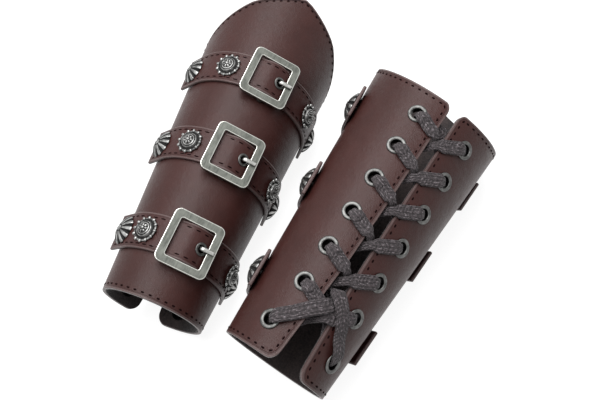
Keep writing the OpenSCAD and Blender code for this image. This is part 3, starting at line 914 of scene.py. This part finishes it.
def lace_eyelet():
    barrel, inner = EYE_HOLE_R + EYE_WALL, -INNER_RIM_H
    profile = [(EYE_HOLE_R, inner - 0.5), (EYE_HOLE_R + 0.2, inner - FLANGE_T),
               (EYE_RIM_R - 0.2, inner - FLANGE_T), (EYE_RIM_R, inner - 0.35), (EYE_RIM_R, inner),
               (barrel, inner), (barrel, 0.05), (EYE_RIM_R, 0.05), (EYE_RIM_R + 0.02, 0.4),
               (EYE_RIM_R - 0.25, 0.8), (EYE_RIM_R - 0.7, 1.04), (EYE_RIM_R - 1.2, RIM_H),
               (EYE_HOLE_R + 0.7, 1.0), (EYE_HOLE_R + 0.3, 0.75), (EYE_HOLE_R + 0.05, 0.35)]
    ring = smooth_over(turned_ring("lace_eyelet", profile, 56), 50)
    # The gunmetal finish darkens the rim towards its foot by this number: painted shade and a painted
    # reflection of the leather.
    return mark(ring, "recess", lambda co: 1 - co.z / RIM_H)


# Lace: stations of (distance from the seam, height, lift off the face, heading, width)

LACE_OUT = LACE_T / 2 + 0.32
LACE_IN = -SHELL_T - LACE_T / 2 - 0.75
LACE_RIM_IN = -INNER_RIM_H - FLANGE_T - LACE_T / 2 - 0.2
LACE_TOP = LACE_OUT + LACE_T + 0.3
EYE_LACE_W = EYE_HOLE_R * 1.5
EYE_NECK_W = EYE_LACE_W + 0.6
FLAP_GAP = GAP_ELBOW + 1

# The way in past the flaps' edges, as distances from the seam and lifts, and the last run of each end
DIVES = {1: ((FLAP_GAP - 1.7, LACE_OUT + 0.1), (FLAP_GAP - 3.3, 0.2), (0, -2.1), (-FLAP_GAP + 3.5, -4.2),
             (-FLAP_GAP + 1.6, LACE_IN), (-FLAP_GAP - 1, LACE_IN)),
         -1: ((1.5, LACE_OUT + 0.1), (0.2, 0.4), (-FLAP_GAP + 3.4, -2.6), (-FLAP_GAP + 2.2, -4.5),
              (-FLAP_GAP + 0.8, LACE_IN - 0.2), (-FLAP_GAP - 0.6, LACE_IN - 0.2))}
LACE_ENDS = {1: ((24.5, 19.5, LACE_OVER_RIM, -43), (21, 22.5, LACE_OVER_RIM, -43),
                 (17, 26.5, LACE_OUT + 0.3, -44), (11.5, 32, LACE_OUT + 0.9, -46), (7, 36.5, LACE_TOP, -48),
                 (2.5, 41, LACE_TOP, -50), (-0.5, 44.5, LACE_TOP - 1.4, -56), (-2.2, 47, -0.6, -66),
                 (-2.8, 49.2, -3.6, -76), (-2.4, 51.2, -8, -84)),
             -1: ((-25.2, 21, LACE_OVER_RIM, 57), (-22.6, 25, LACE_OVER_RIM, 57),
                  (-19.5, 30, LACE_OUT + 0.3, 57), (-16, 35.6, LACE_OUT + 1.2, 57), (-12.5, 41, LACE_TOP, 56),
                  (-8, 46.8, LACE_TOP - 0.4, 52), (-4, 51, LACE_OUT + 0.8, 46), (-0.6, 54, 0.2, 42),
                  (1.6, 55.6, -3, 60), (2.2, 56.6, -7.6, 80))}


# How far a run falls on its way across the seam, from the one side and from the other
LACE_FALL = {1: 12, -1: 18}


def run_heading(side):
    """Heading of the runs that cross the seam from a side, in degrees."""
    return side * math.degrees(math.atan2(LACE_FALL[side], EYE_SIDE + GAP_ELBOW))


def inner_heading(side, i):
    """Heading of a run behind the flap, on its way to the next eyelet."""
    down = eye_height(i) - eye_height(i + 1) - LACE_FALL[side]
    return side * math.degrees(math.atan2(down, eye_side(i + 1) - FLAP_GAP))


def run_height(side, i, s):
    """Height of a run at a distance from the seam."""
    return eye_height(i) - LACE_FALL[side] * (EYE_SIDE - s) / (EYE_SIDE + FLAP_GAP)


def lace_run(side, i):
    """From an eyelet across the seam, under the other flap and back to the next eyelet there."""
    e, g, onward = eye_side(i), FLAP_GAP, eye_side(i + 1)
    a, b = run_heading(side), inner_heading(side, i)
    c = (a + (inner_heading(-side, i - 1) if i > 0 else 0)) / 2
    z = eye_height(i)
    path = [(e, z, LACE_RIM_IN + 1.6, c, EYE_LACE_W), (e, z, -1.6, c, EYE_LACE_W), (e, z, 0.4, a, EYE_LACE_W)]
    for d, lift in ((2.2, LACE_OVER_RIM - 0.8), (4.3, LACE_OVER_RIM), (7, LACE_OVER_RIM - 0.1),
                    (9.2, LACE_OUT + 0.2)):
        path.append((e - d, run_height(side, i, e - d), lift, a, EYE_NECK_W if d < 4 else LACE_W))
    path += [(g + d, run_height(side, i, g + d), LACE_OUT, a, LACE_W) for d in (4, 0.5)]
    path += [(s, run_height(side, i, s), lift, a, LACE_GAP_W) for s, lift in DIVES[side]]
    edge_z = run_height(side, i, -g)
    for t, lift in ((0.35, LACE_IN), (0.62, LACE_RIM_IN - 0.05), (0.86, LACE_RIM_IN)):
        path.append((lerp(-g, -onward, t), lerp(edge_z, eye_height(i + 1), t), lift, b,
                     EYE_NECK_W if t > 0.8 else LACE_W))
    return [(side * p[0],) + p[1:] for p in path]


def lace_strand(side):
    path = []
    for i in range(EYE_PAIRS - 1):
        path += lace_run(side if i % 2 == 0 else -side, i)
    i = EYE_PAIRS - 1
    e, z, b = side * eye_side(i), eye_height(i), inner_heading(-side, i - 1)
    path += [(e, z, lift, b, EYE_LACE_W) for lift in (LACE_RIM_IN + 1.6, -1.6, 0.6)]
    return path + [p + (LACE_GAP_W if p[2] < 0 else LACE_W,) for p in LACE_ENDS[side]]


def lace_route():
    """The whole lace, from one end to the other by way of the bar between the first two eyelets."""
    bar = []
    for q in (1, 0.75, 0.4, 0, -0.4, -0.75, -1):
        lift = LACE_RIM_IN if abs(q) > 0.5 else LACE_IN
        width = EYE_NECK_W if abs(q) > 0.9 else LACE_W
        bar.append(((EYE_SIDE - 3.5) * q, eye_height(0), lift, 0, width))
    return lace_strand(1)[::-1] + bar + lace_strand(-1)


def back_point(s, z, lift):
    a = s / radius(z)
    r = radius(z) + lift
    return Vector((r * math.sin(a), r * math.cos(a), z))


def glide(a, b, c, d, t):
    """A smooth curve through b and c."""
    square, cube = a * 2 - b * 5 + c * 4 - d, b * 3 - a - c * 3 + d
    return 0.5 * (b * 2 + (c - a) * t + square * t * t + cube * t ** 3)


LACE_STEP = 0.9
LACE_SIDES = 16
BRAID_PITCH = 2.3


def lace_stations():
    """Even stations along the lace: its point, its direction across and half its width."""
    points, acrosses, widths = [], [], []
    for s, z, lift, heading, width in lace_route():
        a, h = s / radius(z), math.radians(heading)
        points.append(back_point(s, z, lift))
        acrosses.append(Vector((-math.sin(h) * math.cos(a), math.sin(h) * math.sin(a), math.cos(h))))
        widths.append(width / 2)
    fine = []
    last = len(points) - 1
    for k in range(last):
        near = [max(k - 1, 0), k, k + 1, min(k + 2, last)]
        parts = max(2, round((points[k + 1] - points[k]).length / (LACE_STEP / 2)))
        for t in (part / parts for part in range(parts)):
            straight = points[k].lerp(points[k + 1], t)
            curved = glide(*(points[n] for n in near), t)
            fine.append((straight.lerp(curved, 0.8), acrosses[k].lerp(acrosses[k + 1], smooth(t)),
                         lerp(widths[k], widths[k + 1], smooth(t))))
    fine.append((points[-1], acrosses[-1], widths[-1]))
    even, gone = [fine[0]], 0
    for a, b in zip(fine, fine[1:]):
        gone += (b[0] - a[0]).length
        if gone >= LACE_STEP:
            even.append(b)
            gone = 0
    return even


LACE_STATIONS = lace_stations()


def flat_section(sides, w, t):
    """A flat braid's section: thick in the middle, with round edges."""
    points = []
    for k in range(sides):
        a = 2 * math.pi * k / sides
        c, s = math.cos(a), math.sin(a)
        points.append((w * math.copysign(abs(c) ** 0.7, c), t * math.copysign(abs(s) ** 0.55, s)))
    return points


def lace():
    last = len(LACE_STATIONS) - 1
    rings = []
    for j, (point, across, w) in enumerate(LACE_STATIONS):
        step = LACE_STATIONS[min(j + 1, last)][0] - LACE_STATIONS[max(j - 1, 0)][0]
        ahead = (step - across * step.dot(across) / across.length_squared).normalized()
        across = across.normalized()
        up = ahead.cross(across)
        rings.append([point + across * x + up * y for x, y in flat_section(LACE_SIDES, w, LACE_T / 2)])
    return smooth_over(tube("lace", last, LACE_SIDES, lambda i, j: rings[j][i]), 60)


KNOT_R = 5.5
KNOT_IN = 7.4
KNOT_CORD_R = 1.75


def lace_knot():
    """The two ends tied: an overhand loop of cord, drawn tight."""
    steps, sides = 90, 12

    def spot(t):
        return Vector(((math.sin(t) + 2 * math.sin(2 * t)) * 1.2, (math.cos(t) - 2 * math.cos(2 * t)) * 1.2,
                       -math.sin(3 * t) * 1.7))

    def ring_point(i, j):
        t, a = 2 * math.pi * (j % steps) / steps, 2 * math.pi * (i % sides) / sides
        ahead = (spot(t + 0.01) - spot(t - 0.01)).normalized()
        side = ahead.cross(Vector((0, 0, 1))).normalized()
        return spot(t) + (side * math.cos(a) + side.cross(ahead) * math.sin(a)) * KNOT_CORD_R
    piece = close_up(grid("lace_knot", sides, steps, ring_point))
    (s1, z1), (s2, z2) = (LACE_ENDS[side][-1][:2] for side in (1, -1))
    centre = back_point((s1 + s2) / 2, (z1 + z2) / 2, -KNOT_IN - KNOT_R)
    return smooth_over(placed(piece, Matrix.Translation(centre) @ ACROSS), 70)


# Stitches

STITCH_PITCH = 6.1
STITCH_IN = 3.7
STITCH_UP = 0.02

# Where the stitches of the holed strap and of the buckle strap begin, from the centre bar
HOLED_STITCHES = -8
BUCKLE_STITCHES = 21


def stitch(length, width):
    """One stitch of waxed thread: a short grain that sinks in at both ends."""
    grain = new_piece(bpy.ops.mesh.primitive_uv_sphere_add, segments=8, ring_count=5, radius=1)
    return placed(grain, Matrix.Diagonal((length / 2, width / 2, 0.3, 1)))


def inset_path(path, inset):
    """A path moved sideways, to its left."""
    moved = []
    for k, point in enumerate(path):
        ahead = path[min(k + 1, len(path) - 1)] - path[max(k - 1, 0)]
        if ahead.length > 1e-6:
            ahead.normalize()
            moved.append(point + Vector((-ahead.y, ahead.x)) * inset)
    return moved


def sleeve_stitches(path):
    path = [p for k, p in enumerate(path) if k == 0 or (p - path[k - 1]).length > 0.05]
    length = lengths(path)[-1]
    even = along(path, [length * k / 600 for k in range(601)])
    inner = inset_path(even, STITCH_IN)
    length = lengths(inner)[-1]
    count = round(length / STITCH_PITCH)
    places = []
    for side in (-1, 1):
        for k in range(count):
            a, b = along(inner, [length * (k + 0.3) / count, length * (k + 0.7) / count])
            p, q = (face_point(side * c.x / radius(c.y), c.y, 0) for c in (a, b))
            middle = (p + q) / 2
            level = Vector((middle.x, middle.y, 0)).normalized()
            out = level * math.cos(SLOPE) - Vector((0, 0, math.sin(SLOPE)))
            x = (q - p).normalized()
            s, z = (a + b) / 2
            places.append(lying(x, out, face_point(side * s / radius(z), z, STITCH_UP)))
    return scattered("sleeve_stitches", stitch(2.8, 1.5), places)


def strap_stitches(side, k, start, top):
    """Stitches along both edges of a strap and across its tip, but none under the frame's bar."""
    middle = STRAP_Z[k]
    end = wrap_end(side, middle) + STRAP_TAIL - STITCH_IN
    half = STRAP_W / 2 - STITCH_IN
    count = round((end - start) / STITCH_PITCH)
    stations = [start + (end - start) * (t + 0.5) / count for t in range(count)]
    clear = [d for d in stations if not WINDOW_W / 2 - 1 < d < HALF_FRAME + 1.5]
    spots = [(d, w, True) for d in clear for w in (-half, half)]
    spots += [(end, w, False) for w in (-half + 5.5, -half + 11.1, half - 11.1, half - 5.5)]
    places = []
    for d, w, lengthwise in spots:
        point = band_point(side, middle, d, top(d) + STITCH_UP, w)
        before, after = (band_point(side, middle, d + step, top(d + step), w) for step in (-0.1, 0.1))
        ahead = (after - before).normalized()
        low, high = (band_point(side, middle, d, 0, w + step) for step in (-0.1, 0.1))
        out = ahead.cross((high - low).normalized()).normalized() * side
        x = ahead if lengthwise else out.cross(ahead)
        places.append(lying(x, out, point))
    return scattered("strap_stitches", stitch(4.2, 1.15), places)


# Finishes

class Wire:
    """A shader socket that takes part in sums as a number does."""

    def __init__(self, finish, socket):
        self.finish, self.socket = finish, socket

    def maths(self, operation, *values):
        return self.finish.node("Math", {"operation": operation}, dict(enumerate(values)))

    def __add__(self, other):
        return self.maths("ADD", self, other)

    def __sub__(self, other):
        return self.maths("SUBTRACT", self, other)

    def __rsub__(self, other):
        return self.maths("SUBTRACT", other, self)

    def __mul__(self, other):
        return self.maths("MULTIPLY", self, other)

    __radd__ = __add__
    __rmul__ = __mul__

    def rising(self, low, high):
        """0 below low, 1 above high, and a smooth step between."""
        return self.finish.node("MapRange", {"interpolation_type": "SMOOTHSTEP"},
                                {"Value": self, "From Min": low, "From Max": high})

    def near(self, value, width):
        """1 at a value, falling to 0 at a width from it."""
        return 1 - self.maths("ABSOLUTE", self - value).rising(0, width)


class Finish:
    """A material, or a world, built node by node."""

    def __init__(self, name, home=bpy.data.materials):
        self.owner = home.new(name)
        self.owner.use_nodes = True
        self.tree = self.owner.node_tree
        self.tree.nodes.clear()

    def node(self, kind, settings=None, values=None, output=0):
        """Adds a node with its settings and inputs, and gives one of its outputs."""
        node = self.tree.nodes.new("ShaderNode" + kind)
        for name, value in (settings or {}).items():
            setattr(node, name, value)
        for name, value in (values or {}).items():
            if isinstance(value, Wire):
                self.tree.links.new(value.socket, node.inputs[name])
            elif node.inputs[name].type == "RGBA":
                node.inputs[name].default_value = value + (1,)
            else:
                node.inputs[name].default_value = value
        return None if output is None else Wire(self, node.outputs[output])

    def place(self):
        return self.node("TexCoord", output="Object")

    def noise(self, size, detail=3, rough=0.5, stretch=(1, 1, 1)):
        """Noise whose features are about size metres across."""
        where = self.node("Mapping", {}, {"Vector": self.place(), "Scale": stretch})
        return self.node("TexNoise", {}, {"Vector": where, "Scale": 1 / size, "Detail": detail,
                                          "Roughness": rough})

    def cells(self, size):
        """Distance from the borders of cells about size metres across."""
        values = {"Vector": self.place(), "Scale": 1 / size}
        return self.node("TexVoronoi", {"feature": "DISTANCE_TO_EDGE"}, values)

    def kept(self, name):
        """A number kept on the points of a piece."""
        return self.node("Attribute", {"attribute_name": name}, output="Fac")

    def mix(self, a, b, share):
        return self.node("Mix", {"data_type": "RGBA"}, {0: share, 6: a, 7: b}, output=2)

    def bump(self, height, depth, under=None):
        values = {"Height": height, "Distance": depth, "Strength": 1}
        if under:
            values["Normal"] = under
        return self.node("Bump", {}, values)

    def done(self, **values):
        values = {name.replace("_", " "): value for name, value in values.items()}
        surface = self.node("BsdfPrincipled", {}, values)
        return self.shown(surface)

    def shown(self, surface, kind="Material"):
        self.node("Output" + kind, {}, {"Surface": surface}, output=None)
        return self.owner


# Colour of the rounded rim: edge paint, lightened as a painted highlight.
EDGE_PAINT_AND_HIGHLIGHT = (0.12, 0.083, 0.08)


def leather(name, body, deep):
    """Dyed leather with a fine grain; its rounded edge is edge paint lightened as a painted highlight, and
    the crease beside it is darkened as painted shade, most of all along the elbow.
    """
    f = Finish(name)
    edge = f.kept("edge")
    blotch = f.noise(0.045, 4, 0.6)
    cloud = f.noise(0.009, 3, 0.55)
    pores = f.cells(0.0011)
    wrinkle = f.noise(0.0024, 4, 0.65)
    colour = f.mix(deep, body, (blotch * 0.8 + cloud * 0.45).rising(0.32, 0.95))
    colour = f.mix(colour, deep, (1 - pores.rising(0, 0.16)) * 0.35)
    crease = edge.near(2.1, 0.6)
    arch_shade = edge.near(2.3, 1.1) * f.kept("arch")
    # Painted shade: the colour darkens in the crease beside the edge.
    colour = f.mix(colour, tuple(c * 0.35 for c in deep), crease * 0.4)
    # Painted shade: a darker band in the crease along the elbow edge; its roughness is raised too.
    colour = f.mix(colour, tuple(c * 0.15 for c in deep), arch_shade)
    # The rounded rim takes the edge paint, which is lighter than the leather as a painted highlight.
    painted = 1 - edge.rising(1.0, 1.6)
    colour = f.mix(colour, EDGE_PAINT_AND_HIGHLIGHT, painted * (0.5 + cloud * 0.5))
    grain = pores.rising(0, 0.3) * 0.5 + wrinkle * 0.8
    fine = f.bump(grain, 0.00013)
    dents = f.bump(blotch + cloud * 0.25 - crease * 0.1, 0.0011, fine)
    rough = 0.29 + cloud * 0.12 - painted * 0.06 + (1 - pores.rising(0, 0.2)) * 0.1 + arch_shade * 0.55
    return f.done(Base_Color=colour, Roughness=rough, Normal=dents, Specular_IOR_Level=0.24)


def suede():
    """The napped lining, streaked where the nap lies one way."""
    f = Finish("lining_suede")
    nap = f.noise(0.0016, 5, 0.7)
    streak = f.noise(0.02, 4, 0.7, (1, 0.25, 1))
    share = (nap * 0.6 + streak * 0.6).rising(0.42, 0.82)
    colour = f.mix((0.005, 0.003, 0.0035), (0.056, 0.038, 0.036), share)
    return f.done(Base_Color=colour, Roughness=0.95, Normal=f.bump(nap, 0.0006), Sheen_Weight=0.3,
                  Sheen_Roughness=0.5)


def waxed_thread():
    f = Finish("waxed_thread")
    colour = f.mix((0.004, 0.0015, 0.0015), (0.012, 0.004, 0.004), f.noise(0.003))
    return f.done(Base_Color=colour, Roughness=0.95, Specular_IOR_Level=0.05)


def braided_cord(repeats):
    """A flat braid: chevrons along it, ribs across, with a few light threads that are partly its heather and
    partly painted glints, and painted shade in its hollows and gaps.
    """
    f = Finish("lace_cord")
    uv = f.node("UVMap", {"uv_map": "UVMap"})
    turn, run = (f.node("SeparateXYZ", {}, {0: uv}, output=k) for k in (0, 1))
    across = turn.maths("COSINE", turn * (2 * math.pi))
    leg = across.maths("ABSOLUTE", across)
    chevron = run.maths("SINE", run * (2 * math.pi * repeats) + leg * 7)
    rib = run.maths("SINE", across * 15)
    thread = f.node("TexNoise", {"noise_dimensions": "2D"}, {
        "Vector": f.node("CombineXYZ", {}, {"X": across * 7 + 20, "Y": run * (repeats * 0.9) + leg * 1.2}),
        "Scale": 1, "Detail": 3, "Roughness": 0.7})
    plait = chevron * 0.45 + rib * 0.45
    # Darker in the plait's hollows: painted shade.
    colour = f.mix((0.010, 0.007, 0.008), (0.058, 0.045, 0.049), (plait * 0.4 + 0.5).rising(0, 1))
    # Light threads: the cord's heather, and painted glints.
    colour = f.mix(colour, (0.34, 0.30, 0.32), thread.rising(0.56, 0.72) * 0.65)
    # Near black where the thread noise is low: painted shade in the gaps between threads.
    colour = f.mix(colour, (0.006, 0.004, 0.005), (1 - thread.rising(0.36, 0.50)) * 0.8)
    return f.done(Base_Color=colour, Roughness=0.75, Normal=f.bump(plait + thread * 0.8, 0.0004),
                  Sheen_Weight=0.08, Sheen_Roughness=0.4)


def antique_silver():
    """Cast silver metal, black in its recesses and bright on its high places."""
    f = Finish("antique_silver")
    recess = f.kept("recess")
    cloud = f.noise(0.004, 4, 0.6)
    speck = f.noise(0.0007, 3, 0.6)
    dark = (recess + (cloud - 0.5) * 0.35).rising(0.12, 0.6)
    colour = f.mix((0.40, 0.40, 0.39), (0.16, 0.16, 0.157), cloud.rising(0.35, 0.65))
    colour = f.mix(colour, (0.010, 0.009, 0.009), dark)
    return f.done(Base_Color=colour, Metallic=1 - dark * 0.5, Roughness=0.28 + dark * 0.4 + speck * 0.12,
                  Normal=f.bump(speck, 0.00012))


def buckle_metal():
    """Brushed, slightly green silver, with a painted highlight along its bevelled edges."""
    f = Finish("buckle_silver")
    edge = f.kept("edge")
    brush = f.noise(0.0012, 4, 0.65, (1, 0.12, 1))
    cloud = f.noise(0.008, 4, 0.6)
    face = f.mix((0.085, 0.089, 0.080), (0.185, 0.192, 0.172), (brush * 0.6 + cloud * 0.6).rising(0.35, 0.8))
    # Painted highlight: brighter and glossier along the bevelled edges.
    edge_highlight = 1 - edge.rising(0.4, 0.8)
    colour = f.mix(face, (0.62, 0.62, 0.58), edge_highlight)
    return f.done(Base_Color=colour, Metallic=1, Roughness=0.4 + brush * 0.12 - edge_highlight * 0.2,
                  Normal=f.bump(brush * 0.7 + cloud * 0.3, 0.00012))


def rubbed_metal(name, low, high, rough, shade_colour=None):
    """Scratched steel. Given a shade colour, it is darkened low on a rolled rim as painted shade and a
    painted reflection of the leather round it, so that only the top of the rim stays bright.
    """
    f = Finish(name)
    scratch = f.noise(0.0008, 4, 0.7, (1, 0.3, 1))
    colour = f.mix(low, high, f.noise(0.004, 4, 0.6).rising(0.3, 0.7))
    if shade_colour:
        # Painted shade and reflection: darker towards the foot of a rolled rim.
        colour = f.mix(colour, shade_colour, f.kept("recess").rising(0.25, 0.85))
    return f.done(Base_Color=colour, Metallic=1, Roughness=rough + scratch * 0.14,
                  Normal=f.bump(scratch, 0.00008))


# Levels of the floor and the world, which the camera and reflections see as white
FLOOR_GREY = 0.25
FLOOR_GLOW = 0.9
WORLD_LIGHT = 0.3


def seen(f):
    """1 for the rays of the camera, of mirrors and of glass, and 0 for the rays that light things."""
    rays = [f.node("LightPath", output="Is %s Ray" % kind) for kind in ("Camera", "Glossy", "Transmission")]
    return sum(rays[1:], rays[0])


def floor_white():
    """A white floor that keeps the shadow."""
    f = Finish("floor_white")
    diffuse = f.node("BsdfDiffuse", {}, {"Color": (FLOOR_GREY,) * 3})
    glow = f.node("Emission", {}, {"Color": (1, 1, 1), "Strength": FLOOR_GLOW})
    none = f.node("Emission", {}, {"Color": (0, 0, 0), "Strength": 0})
    mixed = f.node("MixShader", {}, {0: seen(f), 1: none, 2: glow})
    return f.shown(f.node("AddShader", {}, {0: diffuse, 1: mixed}))


def world_white():
    """White to look at, and a softer light on everything."""
    f = Finish("studio", bpy.data.worlds)
    level = f.node("MapRange", {}, {"Value": seen(f), "To Min": WORLD_LIGHT, "To Max": 1})
    return f.shown(f.node("Background", {}, {"Color": (1, 1, 1), "Strength": level}), "World")


SLEEVE_LEATHER = leather("sleeve_leather", (0.050, 0.0160, 0.0137), (0.035, 0.0112, 0.0095))
STRAP_LEATHER = leather("strap_leather", (0.054, 0.0175, 0.0155), (0.037, 0.0120, 0.0105))
SUEDE = suede()
THREAD = waxed_thread()
CORD = braided_cord(len(LACE_STATIONS) * LACE_STEP / BRAID_PITCH)
SILVER = antique_silver()
BUCKLE_SILVER = buckle_metal()
STEEL = rubbed_metal("bright_steel", (0.40, 0.40, 0.38), (0.56, 0.56, 0.54), 0.22)
# Its last colour is the painted shade low on the eyelets' rims.
GUNMETAL = rubbed_metal("gunmetal", (0.07, 0.07, 0.068), (0.16, 0.16, 0.155), 0.36, (0.014, 0.013, 0.013))


# The pieces of one bracer, each laid down twice

def finished(piece, material):
    piece.data.materials.clear()
    piece.data.materials.append(material)
    return piece


def lay_down(name, piece, material, body="bracer", extra=False):
    """Copies of an upright piece, or of its left and right one, laid down where the bracers lie, in metres.

    An extra piece stands for no node of the frame, and any other for the node of its name.
    """
    models = piece if isinstance(piece, dict) else {side: piece for side in SIDES}
    for side in SIDES:
        laid = finished(copy_of(models[side], "%s_%s_dressed" % (side, name), pose(side)), material)
        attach(laid, "%s_%s" % (side, body))
        if not extra:
            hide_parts("%s_%s" % (side, name))
    for model in set(models.values()):
        bpy.data.objects.remove(model)


def lay_sleeve():
    rounds, petals = stud_places()
    lay_down("sleeve", drilled_sheets("sleeve", 0, LEATHER_T, SLEEVE_RIM), SLEEVE_LEATHER)
    lining = drilled_sheets("lining", -LEATHER_T - SKIN_GAP, LINING_T, LINING_RIM)
    lay_down("lining", lining, SUEDE)
    stitches = {side: sleeve_stitches(OUTLINES[side].path) for side in SIDES}
    lay_down("sleeve_stitches", stitches, THREAD, extra=True)
    lay_down("lace", lace(), CORD)
    lay_down("lace_knot", lace_knot(), CORD)
    lay_down("lace_eyelets", many("lace_eyelets", eye_places(), lace_eyelet()), GUNMETAL)
    round_studs = many("round_studs", rounds, round_stud(), post(STUD_BACK_R))
    lay_down("round_studs", round_studs, SILVER)
    petal_studs = many("petal_studs", petals, petal_stud(), post(PETAL_X[1] + STUD_BACK_R))
    lay_down("petal_studs", petal_studs, SILVER)


def lay_strap(k, strap):
    """The two pieces of a strap, with their stitches, strap eyelet, buckle frame and prong."""
    front = on_face(0, STRAP_Z[k])
    stitches = joined("strap_stitches", [strap_stitches(1, k, HOLED_STITCHES, holed_top),
                                         strap_stitches(-1, k, BUCKLE_STITCHES, flat_top)])
    lay_down(strap + "_holed_strap", holed_strap(k), STRAP_LEATHER)
    lay_down(strap + "_buckle_strap", buckle_strap(k), STRAP_LEATHER)
    lay_down(strap + "_strap_stitches", stitches, THREAD, extra=True)
    lay_down(strap + "_strap_eyelet", placed(strap_eyelet(), hole_place(k)), GUNMETAL)
    lay_down(strap + "_buckle_frame", placed(buckle_frame(), front), BUCKLE_SILVER,
             strap + "_buckle")
    lay_down(strap + "_prong", placed(prong(), front), STEEL, strap + "_prong")


lay_sleeve()
for k, strap in enumerate(STRAPS):
    lay_strap(k, strap)
for side in SIDES:
    finished(bpy.data.objects[side + "_stud_backs"], GUNMETAL)


# Floor and light

FLOOR_SIZE = 6
KEY_PLACE = Vector((-0.05, 0.18, 1.2))
KEY_SIZE = (0.85, 1.4)
KEY_WATTS = 21
FILL_SIZE = (1, 1)
FILL_WATTS = 1.2


def add_light(name, place, size, watts, heading):
    bpy.ops.object.light_add(type="AREA", location=place)
    lamp = bpy.context.object
    lamp.name = name
    lamp.data.shape = "RECTANGLE"
    lamp.data.size, lamp.data.size_y = size
    lamp.data.energy = watts
    lamp.rotation_euler = heading


def studio():
    floor = new_piece(bpy.ops.mesh.primitive_plane_add, "floor", size=FLOOR_SIZE, location=(0, 0, 0))
    floor.data.materials.append(floor_white())
    right, up, back = camera_axes()
    fill_from = back * 0.5 - right * 1.0 + up * 0.3
    add_light("key", CAMERA_TARGET + KEY_PLACE, KEY_SIZE, KEY_WATTS, (0, 0, 0))
    add_light("fill", CAMERA_TARGET + fill_from, FILL_SIZE, FILL_WATTS,
              (-fill_from).to_track_quat("-Z", "Y").to_euler())
    bpy.context.scene.world = world_white()
    bpy.context.scene.view_settings.view_transform = "Standard"


studio()

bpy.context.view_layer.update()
